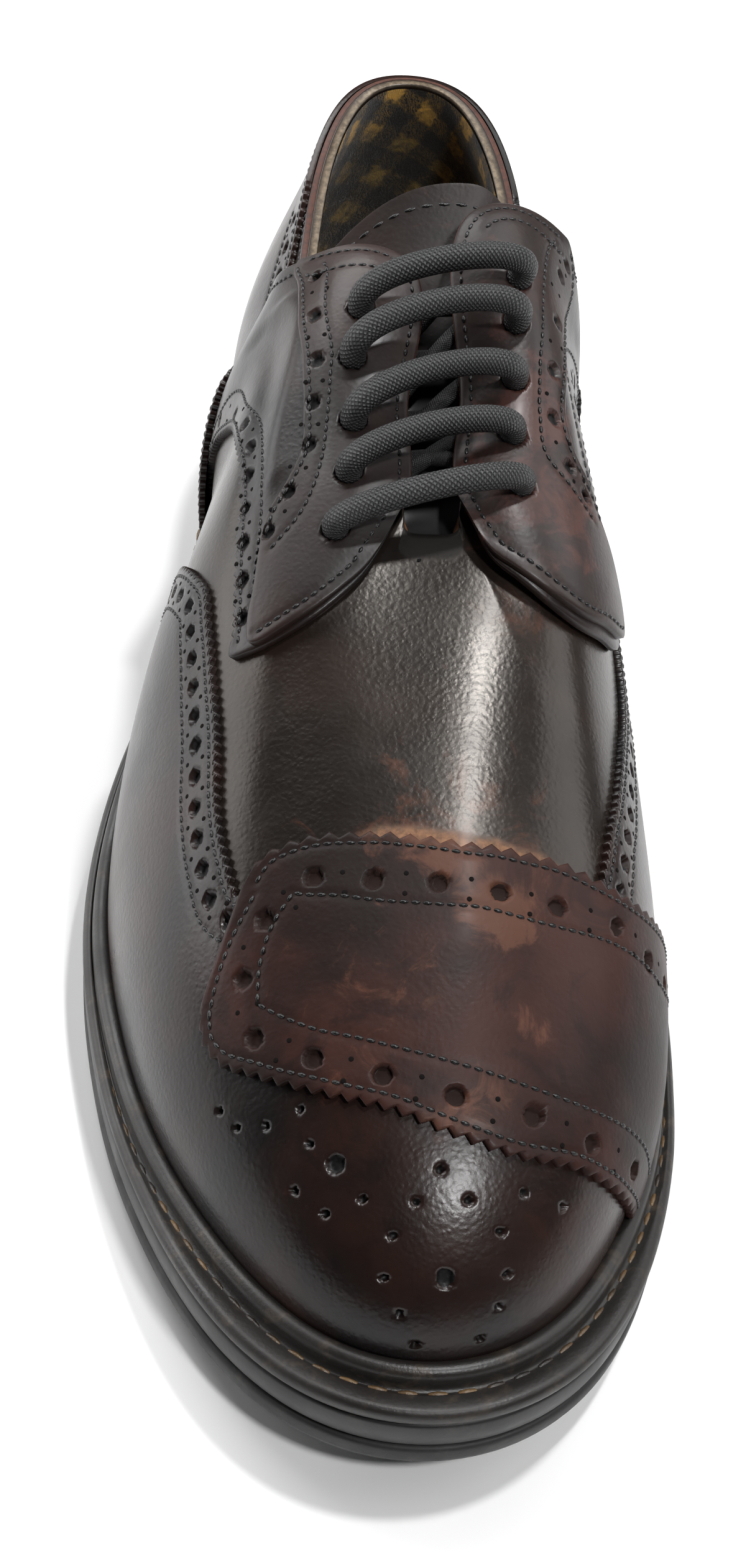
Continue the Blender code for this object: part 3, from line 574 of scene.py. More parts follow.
def folds(u, h):
    """Height of the soft folds above the last."""
    total = np.zeros(np.shape(u))
    for values in FOLDS:
        row = dict(zip(FOLD_COLUMNS, values))
        start = np.array((row["u0"], row["h0"])) * FOLD_SCALE
        run = np.array((row["u1"], row["h1"])) * FOLD_SCALE - start
        at = np.stack([np.mod(u, RING_COUNT), h], axis=-1) * FOLD_SCALE - start
        t = np.clip((at @ run) / (run @ run), 0.0, 1.0)
        away = np.linalg.norm(at - t[..., None] * run, axis=-1)
        total = total + row["high"] * np.exp(-(away / row["wide"])**2)
    return total


# The vamp is one even crown: a smooth surface fitted through the sections, which meet there in faint ripples.
CROWN_PLACES = (18.6, 25.4)
CROWN_HEIGHTS = (0.36, 1.0)
CROWN_HALF = 38.0
CROWN_SIZE = np.array((40.0, 60.0, 1.0))
CROWN_DEGREE = 6
CROWN_FADE = 1.0
CROWN_SIDE_FADE = 10.0
CROWN_FOOT = 0.40
CROWN_FOOT_FADE = 0.15
CROWN_SAMPLES = (171, 81)
# Soft crest along the vamp, towards the inner side.
CREST_X = 7.0
CREST_WIDE = 11.5
CREST_HIGH = 1.0
CROWN_OUT = unit(np.array((0.0, -0.36, 0.93)))
CROWN_AXES = np.array(((1.0, 0.0, 0.0), np.cross(CROWN_OUT, (1.0, 0.0, 0.0)), CROWN_OUT))
CROWN_MIDDLE = last(np.array(22.0), np.array(0.75))


def crown_terms(points):
    """Powers of the places across and along the vamp, and the heights there."""
    across_at, along_at, height = np.moveaxis((points - CROWN_MIDDLE) @ CROWN_AXES.T / CROWN_SIZE, -1, 0)
    powers = [across_at**i * along_at**j for i in range(CROWN_DEGREE + 1) for j in range(CROWN_DEGREE + 1 - i)]
    return np.stack(powers, axis=-1), height


crown_u, crown_h = np.meshgrid(np.linspace(*CROWN_PLACES, CROWN_SAMPLES[0]),
                               np.linspace(*CROWN_HEIGHTS, CROWN_SAMPLES[1]), indexing="ij")
crown_points = last(crown_u, crown_h)
crown_area = np.linalg.norm(np.cross(np.gradient(crown_points, axis=0), np.gradient(crown_points, axis=1)), axis=-1)
crown_weight = np.sqrt(crown_area) * (np.abs(crown_points[..., 0] - CROWN_MIDDLE[0]) < CROWN_HALF)
crown_powers, crown_heights = crown_terms(crown_points)
CROWN_FIT = np.linalg.lstsq((crown_powers * crown_weight[..., None]).reshape(-1, crown_powers.shape[-1]),
                            (crown_heights * crown_weight).ravel(), rcond=None)[0]


def crown(u, h, points, normal):
    """How far out the vamp is faired, fading to nothing round its borders."""
    powers, height = crown_terms(points)
    place = np.mod(u - HALF_RING, RING_COUNT) + HALF_RING
    share = np.clip(np.minimum(place - CROWN_PLACES[0], CROWN_PLACES[1] - place) / CROWN_FADE, 0.0, 1.0)
    share = share * np.clip((CROWN_HALF - np.abs(points[..., 0] - CROWN_MIDDLE[0])) / CROWN_SIDE_FADE, 0.0, 1.0)
    share = share * np.clip((h - CROWN_FOOT) / CROWN_FOOT_FADE, 0.0, 1.0)
    crest = CREST_HIGH * np.exp(-((points[..., 0] - CREST_X) / CREST_WIDE)**2)
    return np.where(share > 0.0, (powers @ CROWN_FIT - height + crest) * (normal @ CROWN_OUT), 0.0) * share


def seat(u, h, lift):
    """Points at a height above the shaped last, and the directions out of it."""
    normal = last_normal(u, h)
    points = last(u, h)
    return points + normal * np.asarray(lift + folds(u, h) + crown(u, h, points, normal))[..., None], normal


# Where the dye is rubbed back to red: ring place, height, half width, strength.
RED_PATCH_COLUMNS = ("u", "h", "wide", "strength")
RED_PATCHES = (
    (21.97, 0.69, 26.0, 0.45), (23.1, 0.652, 14.0, 0.42), (21.1, 0.688, 14.0, 0.30),
    (22.23, 0.632, 8.0, 0.80), (21.77, 0.586, 6.0, 0.25), (22.68, 0.576, 8.5, 0.95), (23.14, 0.594, 7.0, 0.5),
    (22.88, 0.446, 7.0, 0.62), (21.44, 0.512, 16.0, 0.36), (20.92, 0.438, 12.0, 0.34), (22.19, 0.388, 12.0, 0.42),
    (21.22, 0.388, 10.0, 0.42), (20.9, 0.20, 20.0, 0.22), (19.6, 0.25, 25.0, 0.15),
    (4.29, 0.80, 22.0, 0.60), (4.9, 0.82, 16.0, 0.62), (3.93, 0.776, 12.0, 0.55), (5.6, 0.86, 16.0, 0.45),
    (18.34, 0.746, 18.0, 0.24), (17.4, 0.88, 16.0, 0.20), (21.98, 0.894, 20.0, 0.22), (2.68, 0.796, 18.0, 0.38),
)


def red_field(points):
    """How far the dye is rubbed back to red, from 0 to 1, at points on the upper."""
    total = np.zeros(points.shape[:-1])
    for values in RED_PATCHES:
        row = dict(zip(RED_PATCH_COLUMNS, values))
        away = np.linalg.norm(points - last(row["u"], row["h"]), axis=-1)
        total = np.maximum(total, row["strength"] * np.exp(-(away / row["wide"])**2))
    return total


def leather_grain_group():
    """Fine pebble and brushed haze of polished calf leather; the pebble's height is in millimetres."""
    group = bpy.data.node_groups.new("leather_grain", "ShaderNodeTree")
    group.interface.new_socket("Place", in_out="INPUT", socket_type="NodeSocketVector")
    group.interface.new_socket("Height", in_out="OUTPUT", socket_type="NodeSocketFloat")
    group.interface.new_socket("Haze", in_out="OUTPUT", socket_type="NodeSocketFloat")
    start = group.nodes.new("NodeGroupInput")
    end = group.nodes.new("NodeGroupOutput")
    place = start.outputs["Place"]
    warp = add_node(group, "ShaderNodeTexNoise", {"Vector": place, "Scale": 420.0, "Detail": 3.0})
    warped = add_node(group, "ShaderNodeVectorMath", {0: warp.outputs["Color"]}, operation="SCALE")
    warped.inputs["Scale"].default_value = 0.0011
    moved = add_node(group, "ShaderNodeVectorMath", {0: place, 1: warped.outputs[0]}, operation="ADD")
    pebble = add_node(group, "ShaderNodeTexVoronoi", {"Vector": moved.outputs[0], "Scale": 1250.0},
                      feature="SMOOTH_F1")
    fine = noise(group, place, 2600.0, 3.0)
    height = sums(group, "MULTIPLY", pebble.outputs["Distance"], -0.026)
    height = sums(group, "ADD", height, sums(group, "MULTIPLY", fine, 0.008))
    group.links.new(height, end.inputs["Height"])
    haze = noise(group, place, 42.0, 6.0, 0.6, 0.3)
    group.links.new(haze, end.inputs["Haze"])
    return group


LEATHER_GRAIN = leather_grain_group()


def burnish_group():
    """Hand-burnished dye: near-black over brown, rubbed back to red where the leather was polished hard."""
    group = bpy.data.node_groups.new("burnish", "ShaderNodeTree")
    for name in ("Dark", "Brown", "Red"):
        group.interface.new_socket(name, in_out="INPUT", socket_type="NodeSocketColor")
    group.interface.new_socket("Place", in_out="INPUT", socket_type="NodeSocketVector")
    group.interface.new_socket("Rubbed", in_out="INPUT", socket_type="NodeSocketFloat")
    group.interface.new_socket("Colour", in_out="OUTPUT", socket_type="NodeSocketColor")
    start = group.nodes.new("NodeGroupInput")
    end = group.nodes.new("NodeGroupOutput")
    place = start.outputs["Place"]
    clouds = noise(group, place, 30.0, 5.0, 0.55, 0.2)
    base = blended(group, ranged(group, clouds, 0.36, 0.66), start.outputs["Dark"], start.outputs["Brown"])
    ragged = sums(group, "SUBTRACT", noise(group, place, 120.0, 8.0, 0.68, 0.9), 0.5)
    level = sums(group, "ADD", start.outputs["Rubbed"], sums(group, "MULTIPLY", ragged, 1.3))
    mask = ranged(group, level, 0.36, 0.60)
    tone = blended(group, mask, base, start.outputs["Red"])
    smears = ranged(group, noise(group, place, 60.0, 5.0, 0.6, 1.2), 0.54, 0.66, 0.0, 0.55)
    tone = blended(group, smears, tone, start.outputs["Dark"])
    group.links.new(tone, end.inputs["Colour"])
    return group


BURNISH = burnish_group()


# Cut edge of the lining leather round the collar.
BARE_EDGE = (0.30, 0.235, 0.165)


def burnished_leather(name, dark, brown, red, raw, hollow_and_shade_colour, rough_low=0.32, rough_high=0.45, grain=1.4, creases=0.0,
                      polish=0.40, wax=(1.0, 1.0, 1.0)):
    """Polished brogue leather with its raw cut edge, its punched holes and, on the vamp, fine wrinkles; hole floors,
    the throat end and the tongue under the lace are painted dark as shade.
    """
    material, tree, shader = new_material(name, Specular_IOR_Level=polish, Specular_Tint=(*wax, 1.0),
                                          Coat_Weight=0.15 * polish, Coat_Roughness=0.20)
    place = object_place(tree)
    dye = add_node(tree, "ShaderNodeGroup", node_tree=BURNISH)
    for socket, colour in (("Dark", dark), ("Brown", brown), ("Red", red)):
        dye.inputs[socket].default_value = (*colour, 1.0)
    tree.links.new(place, dye.inputs["Place"])
    tree.links.new(field(tree, "rubbed"), dye.inputs["Rubbed"])
    skin = add_node(tree, "ShaderNodeGroup", {"Place": place}, node_tree=LEATHER_GRAIN)
    # Painted shade: where the hollow mask is set, the colour goes to the hollow colour, which is the layer beneath
    # darkened in hole floors and black at the throat and under the lace.
    hollow_shaded = ranged(tree, field(tree, "hole"), 0.0, 0.3)
    tone = blended(tree, hollow_shaded, dye.outputs["Colour"], (*hollow_and_shade_colour, 1.0))
    cut = ranged(tree, field(tree, "cut"), 0.3, 0.8)
    frayed = ranged(tree, noise(tree, place, 900.0, 4.0, 0.65), 0.3, 0.7, 0.35, 1.0)
    tone = blended(tree, sums(tree, "MULTIPLY", cut, frayed), tone, (*raw, 1.0))
    if creases:
        bare = sums(tree, "MULTIPLY", field(tree, "bare"), frayed)
        tone = blended(tree, bare, tone, (*BARE_EDGE, 1.0))
    tree.links.new(tone, shader.inputs["Base Color"])
    rough = ranged(tree, skin.outputs["Haze"], 0.3, 0.7, rough_low, rough_high)
    dull = sums(tree, "MULTIPLY", sums(tree, "MAXIMUM", hollow_shaded, cut), 0.3)
    tree.links.new(sums(tree, "ADD", rough, dull), shader.inputs["Roughness"])
    height = sums(tree, "MULTIPLY", skin.outputs["Height"], grain)
    if creases:
        wrinkles = sums(tree, "MULTIPLY", noise(tree, place, 800.0, 4.0, 0.6, 0.4), field(tree, "crease"))
        height = sums(tree, "ADD", height, sums(tree, "MULTIPLY", wrinkles, creases))
    relief(tree, shader, height, 1.0)
    return material


# Upper edge of the toe strap, where the vamp beside it is rubbed back to raw tan, and its share along that edge.
STRAP_HIGH = ((19.97, 0.488), (20.04, 0.528), (20.23, 0.566), (20.65, 0.618), (21.27, 0.654),
              (21.78, 0.66), (22.32, 0.654), (22.86, 0.638), (23.47, 0.59), (24.05, 0.506), (24.6, 0.406),
              (25.24, 0.24), (25.5, 0.10), (25.6, 0.02))
RUBBED_EDGE = ((20.0, 0.0), (20.6, 0.0), (21.0, 0.5), (21.6, 0.95), (22.3, 1.0), (23.2, 0.85), (23.7, 0.5),
               (24.0, 0.0))
RUBBED_WIDE = 2.6
# Millimetres from foot to throat along the toe.
VAMP_LONG = 138.0
COLLAR_PLACES = (6.85, 15.15)
# Rows of the rim from the skin inwards, and how bare each is round the collar.
RIM_LIFTS = (-0.2, -0.6, -1.2, -1.7, -WALL)
BARE_SHARES = (0.0, 0.35, 0.8, 0.8, 0.3)
INSIDE_ROWS = (0.985, 0.96, 0.93)
# The throat end under the facings is painted black as shade and made rough: half its width, its height and how softly
# it starts.
THROAT_SHADE_HALF = 1.6
THROAT_SHADE_H = 0.965
THROAT_SHADE_SOFT = 0.03
# How far the edges of the slot are rubbed back to raw leather.
SLOT_EDGE_RAW = 0.75
# Where the vamp is finely creased: ring place, height, half width.
CREASED = ((22.2, 0.95, 26.0), (22.4, 0.84, 26.0), (22.3, 0.74, 18.0))

upper_heights = np.linspace(0.0, 1.0, UPPER_ROWS)
upper_u, upper_h = np.meshgrid(RING, upper_heights, indexing="ij")
upper_skin, upper_out = seat(upper_u, upper_h, np.zeros(upper_u.shape))
rim = np.stack([upper_skin[:, -1] + upper_out[:, -1] * lift for lift in RIM_LIFTS], axis=1)
inside_u, inside_heights = np.meshgrid(RING, INSIDE_ROWS, indexing="ij")
inside, _ = seat(inside_u, inside_heights, np.full(inside_u.shape, -WALL))
upper_points = np.concatenate([upper_skin, rim, inside], axis=1)
at_rim = slice(UPPER_ROWS, UPPER_ROWS + len(RIM_LIFTS))
at_collar = (RING > COLLAR_PLACES[0]) & (RING < COLLAR_PLACES[1])
upper_cut = np.zeros(upper_points.shape[:2])
upper_bare = np.zeros(upper_cut.shape)
upper_bare[:, at_rim] = np.where(at_collar, 1.0, 0.0)[:, None] * np.array(BARE_SHARES)
upper_rubbed = red_field(upper_points)
upper_rubbed[:, at_rim] = np.where(at_collar, 0.0, 1.0)[:, None]
upper_cut[:, at_rim] = np.where(at_collar, 0.0, SLOT_EDGE_RAW)[:, None]
edge_u, edge_h = np.array(STRAP_HIGH).T
toe_u = np.where(upper_u < HALF_RING, upper_u + RING_COUNT, upper_u)
strap_h = np.interp(toe_u, edge_u, edge_h, left=2.0, right=2.0)
above_strap = (upper_h - strap_h) * VAMP_LONG
rubbed_share = smooth_table(RUBBED_EDGE, toe_u)
upper_cut[:, :UPPER_ROWS] = rubbed_share * np.exp(-(np.maximum(above_strap, 0.0) / RUBBED_WIDE)**2)
upper_crease = np.zeros(upper_cut.shape)
for at_u, at_h, wide in CREASED:
    away = np.linalg.norm(upper_points - last(at_u, at_h), axis=-1)
    upper_crease = np.maximum(upper_crease, np.exp(-(away / wide)**2))
# Painted shade: the vamp's throat end, and its rim there, are marked to be painted black where the facings shade it.
in_throat_shade = np.abs(np.mod(RING + HALF_RING, RING_COUNT) - HALF_RING) < THROAT_SHADE_HALF
upper_hole = np.zeros(upper_cut.shape) - 1.0
throat_shade = np.clip((upper_h - THROAT_SHADE_H) / THROAT_SHADE_SOFT, -1.0, 1.0)
upper_hole[:, :UPPER_ROWS] = np.where(in_throat_shade[:, None], throat_shade, -1.0)
upper_hole[:, UPPER_ROWS:] = np.where(in_throat_shade, 1.0, -1.0)[:, None]
upper = laid_sheet("vamp_and_lining", upper_points, joined=True, rubbed=upper_rubbed, cut=upper_cut,
                   hole=upper_hole, crease=upper_crease, bare=upper_bare)
# Near-black hollow colour: painted shade for hole floors, the vamp's throat end and the tongue under the lace.
BLACK_HOLLOW_SHADE = (0.004, 0.0035, 0.0035)
RAW_TAN = (0.24, 0.115, 0.055)
VAMP_LEATHER = burnished_leather("vamp_leather", (0.009, 0.0068, 0.0058), (0.020, 0.0125, 0.0095),
                                 (0.058, 0.024, 0.016), RAW_TAN, BLACK_HOLLOW_SHADE, 0.24, 0.33, 1.4, 0.032, polish=0.36,
                                 wax=(1.0, 0.93, 0.86))
finished(upper, VAMP_LEATHER, "upper", "upper")

# Lining: a brushed cotton check in ochre and near-black, pasted inside the upper from collar to toe.
# The cloth is cut on the slant, and its ochre is painted brighter near the collar as painted light falling in through
# the opening.
LINING_ROWS = 40
CHECK_MM = 10.5
TWILL_MM = 1.1
CLOTH_H = 0.85
CLOTH_TURN = 28.0
CLOTH_GAP = 0.12
lining_h = np.linspace(0.978, 0.02, LINING_ROWS)
lining_u, lining_heights = np.meshgrid(RING, lining_h, indexing="ij")
lining_points, _ = seat(lining_u, lining_heights, np.full(lining_u.shape, -WALL - CLOTH_GAP))
# Millimetres of cloth along the collar and down from it.
cloth_along = np.repeat(run_length(last(RING, CLOTH_H))[:, None], LINING_ROWS, axis=1)
cloth_run = np.linalg.norm(np.diff(lining_points, axis=1), axis=2)
cloth_down = np.concatenate([np.zeros((len(RING), 1)), np.cumsum(cloth_run, axis=1)], axis=1)
lining = laid_sheet("check_lining", lining_points, joined=True, cloth_along=cloth_along, cloth_down=cloth_down)
check_cloth, tree, shader = new_material("check_cloth", Roughness=0.92, Specular_IOR_Level=0.2, Sheen_Weight=0.3)
cloth = add_node(tree, "ShaderNodeCombineXYZ", {0: field(tree, "cloth_along"), 1: field(tree, "cloth_down")}).outputs[0]
drift = add_node(tree, "ShaderNodeTexNoise", {"Vector": cloth, "Scale": 0.35, "Detail": 5.0, "Roughness": 0.7})
drifted = add_node(tree, "ShaderNodeVectorMath", {0: drift.outputs["Color"]}, operation="SCALE")
drifted.inputs["Scale"].default_value = 5.0
loose = add_node(tree, "ShaderNodeVectorMath", {0: cloth, 1: drifted.outputs[0]}, operation="ADD")
turned = add_node(tree, "ShaderNodeVectorRotate", {"Vector": loose.outputs[0], "Angle": math.radians(CLOTH_TURN)})
axes = add_node(tree, "ShaderNodeSeparateXYZ", {0: turned.outputs[0]})
bands = []
for axis in ("X", "Y"):
    wave = sums(tree, "FRACT", sums(tree, "DIVIDE", axes.outputs[axis], CHECK_MM))
    bands.append(ranged(tree, sums(tree, "ABSOLUTE", sums(tree, "SUBTRACT", wave, 0.5)), 0.20, 0.32))
slant = sums(tree, "DIVIDE", sums(tree, "ADD", axes.outputs["X"], axes.outputs["Y"]), TWILL_MM)
twill = ranged(tree, sums(tree, "ABSOLUTE", sums(tree, "SUBTRACT", sums(tree, "FRACT", slant), 0.5)), 0.15, 0.35)
both = sums(tree, "MULTIPLY", bands[0], bands[1])
either = sums(tree, "MAXIMUM", bands[0], bands[1])
share = sums(tree, "MAXIMUM", both, sums(tree, "MULTIPLY", either, sums(tree, "MULTIPLY", twill, 0.30)))
fuzz = ranged(tree, noise(tree, object_place(tree), 420.0, 6.0, 0.75, 0.6), 0.32, 0.68, 0.15, 1.0)
share = sums(tree, "MULTIPLY", share, fuzz)
# Painted light: the ochre is painted brighter near the collar, fading out from 3 to 16 mm below it.
painted_collar_light = sums(tree, "MULTIPLY", ranged(tree, field(tree, "cloth_down"), 3.0, 16.0, 1.0, 0.0), share)
tone = blended(tree, share, (0.020, 0.019, 0.017, 1.0), (0.36, 0.24, 0.065, 1.0))
tone = blended(tree, painted_collar_light, tone, (0.80, 0.44, 0.08, 1.0))
tree.links.new(tone, shader.inputs["Base Color"])
relief(tree, shader, sums(tree, "ADD", twill, fuzz), 0.16)
finished(lining, check_cloth, "upper")

# Wing: the long overlay round the toe and down both sides, lasted under the welt. Its upper edge is gimped,
# double sewn, and punched with large holes and small ones, the small ones drawn as dark caps of painted shade; a
# medallion is punched on the toe.
EDGE_ROUND = 0.3
EDGE_SOFT = 0.4
SEAM_SOFT = 0.8
HOLE_LIP_SOFT = 0.3
HOLE_SOFT = 0.35
HOLE_STEP = 0.06
EDGE_OVERLAP = 0.25
BIG_HOLE = 1.35
SMALL_HOLE = 0.44
PINHOLE_RISE = 0.07
HOLE_DEPTH = 1.15
HOLE_SNAP = 0.24
HOLE_LIP = 0.06
NOTCH_REACH = 2.4
STITCH_PITCH = 1.9
STITCH_DIP = 0.14
# Distances from an edge: its seam, its row of large holes, its second seam; then the spacing of those holes.
EDGE_SEAM = 2.0
WING_HOLE_ROW = 5.0
WING_SECOND_SEAM = 8.4
WING_HOLE_SPACING = 6.1
PAIR_SPREAD = 1.9
WING_BAND = 9.8
DRAWN_STEP = 0.5
WING_TOOTH = 2.0
WING_TOOTH_DEEP = 0.85
FOOT_EDGE = 0.012
WING_TOP = ((16.25, 0.03), (16.5, 0.20), (16.88, 0.388), (17.2, 0.47), (17.46, 0.514), (17.82, 0.525),
            (18.27, 0.526), (18.71, 0.521), (19.18, 0.494), (19.64, 0.474), (19.95, 0.468), (20.27, 0.518),
            (20.62, 0.58), (21.25, 0.62), (21.77, 0.628), (22.34, 0.622), (22.9, 0.604), (23.49, 0.56),
            (23.97, 0.504), (24.35, 0.506), (24.66, 0.51), (25.1, 0.494), (25.68, 0.46), (26.3, 0.412),
            (26.6, 0.405), (26.9, 0.395), (27.2, 0.35), (27.5, 0.22), (27.75, 0.03))
# Stretch of the edge that the toe strap covers, and the height that its columns are spaced along.
WING_TOE = (20.05, 24.0)
WING_TOE_H = 0.2
# Lower edge of the toe strap, down to which the wing shows.
STRAP_LOW = ((20.0, 0.312), (20.12, 0.284), (20.25, 0.284), (20.6, 0.32), (21.09, 0.36), (21.61, 0.374),
             (22.09, 0.356), (22.55, 0.322), (23.07, 0.264), (23.35, 0.198), (23.6, 0.11), (23.8, 0.02))


def drawn_line(rows, step):
    """Places about a step apart along a smooth line drawn on the last through rows of places."""
    rows = np.array(rows, float)
    knots = run_length(last(rows[:, 0], rows[:, 1]))
    slope = np.gradient(rows, knots, axis=0)
    at = np.linspace(0.0, knots[-1], 40 * len(rows))
    i = np.clip(np.searchsorted(knots, at) - 1, 0, len(knots) - 2)
    width = (knots[i + 1] - knots[i])[:, None]
    t = (at - knots[i])[:, None] / width
    return evenly(eased(t, rows[i], rows[i + 1], width * slope[i], width * slope[i + 1]), step)


def evenly(line, step, multiple=1):
    """A line of places spaced evenly over the last, in a whole multiple of steps."""
    length = run_length(last(line[:, 0], line[:, 1]))
    count = max(1, round(length[-1] / step / multiple)) * multiple
    return picked(np.linspace(0.0, length[-1], count + 1), length, line)


def between(line, first, final):
    """Stretch of a line between two ring places."""
    return line[(line[:, 0] > first) & (line[:, 0] < final)]


def beside(line, distance):
    """The line moved on the last by millimetres, to the left of its run as seen from outside."""
    u, h = line.T
    held = np.clip(h, 0.0, 1.0)
    along_u, along_h = last_slopes(u, held)
    tangent = unit(np.gradient(last(u, held), axis=0))
    side = np.cross(unit(np.cross(along_u, along_h)), tangent)
    a = (along_u**2).sum(axis=1)
    b = (along_u * along_h).sum(axis=1)
    c = (along_h**2).sum(axis=1)
    p = (side * along_u).sum(axis=1)
    q = (side * along_h).sum(axis=1)
    span = a * c - b * b
    move = np.stack([(c * p - b * q) / span, (a * q - b * p) / span], axis=1)
    return line + move * np.reshape(distance, (-1, 1))


def gimped(line, deep, steps=4):
    """How far a saw-tooth cut moves each place of an edge, with a number of places to each tooth."""
    turn = np.arange(len(line)) % steps / steps
    return beside(line, deep * (1.0 - np.abs(2.0 * turn - 1.0))) - line


def across(low, high, near_low, near_high, fine, middle):
    """Shares across a piece: close rows in the sewn bands along its edges, even rows between them."""
    t = np.linspace(0.0, 1.0, 40)[None, :, None]
    places = low[:, None] * (1.0 - t) + high[:, None] * t
    drawn = last(places[..., 0], np.clip(places[..., 1], 0.0, 1.0))
    length = np.linalg.norm(np.diff(drawn, axis=1), axis=2).sum(axis=1)
    low_rows = np.concatenate([[0.0, 0.2], np.arange(fine, near_low, fine)]) if near_low else np.zeros(1)
    high_rows = np.concatenate([[0.0, 0.2], np.arange(fine, near_high, fine)]) if near_high else np.zeros(1)
    room = np.maximum(length, (near_low + near_high) * 1.15)[:, None]
    from_low = low_rows[None] / room
    from_high = 1.0 - high_rows[None, ::-1] / room
    steps = np.linspace(0.0, 1.0, middle + 2)[None, 1:-1]
    between_bands = from_low[:, -1:] + (from_high[:, :1] - from_low[:, -1:]) * steps
    return np.concatenate([from_low, between_bands, from_high], axis=1)


def nearest(points, targets):
    """Distance from each point to its nearest target, and that target's number."""
    tree = KDTree(len(targets))
    for i, target in enumerate(targets):
        tree.insert(target, i)
    tree.balance()
    found = [tree.find(point) for point in points.reshape(-1, 3)]
    away = np.array([hit[2] for hit in found]).reshape(points.shape[:-1])
    number = np.array([hit[1] for hit in found]).reshape(points.shape[:-1])
    return away, number


def no_lift(u, h):
    return np.zeros(np.shape(u))


def leather_piece(name, low, high, shares, lift, seams=(), holes=(), cut_low=True, cut_high=True, stand=no_lift,
                  raw_high=0.0, cut_start=False, notch_low=0.0, notch_high=0.0):
    """A leather overlay between two edges on the last: rounded and notched edges, dips along seams, punched holes."""
    t = shares[..., None]
    places = low[:, None] * (1.0 - t) + high[:, None] * t
    run = np.linalg.norm(np.diff(last(places[..., 0], places[..., 1]), axis=1), axis=2)
    from_low = np.concatenate([np.zeros((len(low), 1)), np.cumsum(run, axis=1)], axis=1)
    from_high = from_low[:, -1:] - from_low
    for notch, away in ((notch_low, from_low), (notch_high, from_high)):
        near = np.clip(1.0 - away / NOTCH_REACH, 0.0, 1.0)[..., None]
        places = places + np.broadcast_to(notch, low.shape)[:, None] * near
    u = places[..., 0]
    h = np.minimum(places[..., 1], 1.0)
    skin, normal = seat(u, h, lift + stand(u, h))
    sunk = np.zeros(u.shape)
    hole = np.full(u.shape, -1.0)
    if cut_low:
        sunk += EDGE_ROUND * np.exp(-from_low / EDGE_SOFT)
    if cut_high:
        sunk += EDGE_ROUND * np.exp(-from_high / EDGE_SOFT)
    if cut_start:
        step = np.linalg.norm(np.diff(skin, axis=0), axis=2)
        from_start = np.concatenate([np.zeros((1, step.shape[1])), np.cumsum(step, axis=0)])
        sunk += EDGE_ROUND * np.exp(-from_start / EDGE_SOFT)
    if len(seams):
        away, _ = nearest(skin, np.concatenate([seat(*seam.T, lift + stand(*seam.T))[0] for seam in seams]))
        sunk += STITCH_DIP * np.exp(-(away / SEAM_SOFT)**2)
    for line, radius in holes:
        centres = seat(*line.T, lift + stand(*line.T))[0]
        away, number = nearest(skin, centres)
        outward = skin - centres[number]
        outward = outward - normal * (outward * normal).sum(axis=-1, keepdims=True)
        rim = radius + np.where(away < radius, -HOLE_STEP, HOLE_STEP)
        moved = np.where(np.abs(away - radius) < HOLE_SNAP, rim, away)
        skin = skin + unit(outward) * (moved - away)[..., None]
        lip = HOLE_LIP * np.exp(-np.maximum(moved - radius, 0.0) / HOLE_LIP_SOFT)
        sunk += np.where(moved < radius, HOLE_DEPTH, lip)
        # Hole floors are marked for the hollow colour: the layer beneath, darkened as painted shade.
        hole = np.maximum(hole, np.clip((radius - moved) / HOLE_SOFT, -1.0, 1.0))
    points = skin - normal * sunk[..., None]
    cut = np.zeros(u.shape)
    wall = LEATHER + EDGE_OVERLAP
    if cut_low:
        points = np.concatenate([skin[:, :1] - normal[:, :1] * wall, points], axis=1)
        cut = np.concatenate([cut[:, :1], cut], axis=1)
        hole = np.concatenate([hole[:, :1], hole], axis=1)
    if cut_high:
        points = np.concatenate([points, skin[:, -1:] - normal[:, -1:] * wall], axis=1)
        cut = np.concatenate([cut, np.full((len(low), 1), raw_high)], axis=1)
        cut[:, -2] = raw_high
        hole = np.concatenate([hole, hole[:, -1:]], axis=1)
    if cut_start:
        points = np.concatenate([points[:1] - unit(points[1:2] - points[:1]) * 0.1, points])
        points[0] -= last_normal(u[0, 0], h[0, 0]) * wall
        cut = np.concatenate([cut[:1], cut])
        hole = np.concatenate([hole[:1], hole])
    return laid_sheet(name, points, rubbed=red_field(points), cut=cut, hole=hole)


def punched_row(line, away, spacing, start=0.5):
    """Places of holes a spacing apart on a line beside an edge."""
    path = evenly(beside(line, away), 0.25)
    length = run_length(last(path[:, 0], path[:, 1]))
    return picked(np.arange(start * spacing, length[-1], spacing), length, path[:, :2])


def pairs_between(line, spread):
    """Places of the small holes: a pair across the band between each two large ones."""
    middle = (line[1:] + line[:-1]) / 2.0
    return np.concatenate([beside(middle, spread), beside(middle, -spread)])


def sewn(lines, lift, stand=no_lift):
    """Lines of places as points on the leather and the directions out of it, ready for the thread."""
    found = []
    for line in lines:
        path = evenly(line, 1.0)
        found.append(seat(*path.T, lift + stand(*path.T)))
    return found


def pinholes(name, places, lift, slot_name, stand=no_lift):
    """Small punched holes, each drawn as a flat dark cap on the leather: painted shade standing in for the hole."""
    piece, one, faces = beads(name, 10, 6)
    points, out = seat(*places.T, lift + stand(*places.T))
    side = unit(np.cross(out, np.array((0.0, 1.0, 0.3))))
    other = np.cross(out, side)
    dimples = []
    for k in range(len(points)):
        body = (one[:, :1] * side[k] + one[:, 1:2] * other[k]) * SMALL_HOLE + one[:, 2:] * out[k] * PINHOLE_RISE
        dimples.append(points[k] + body)
    return strewn(piece, faces, dimples, HOLE_SHADE, slot_name)
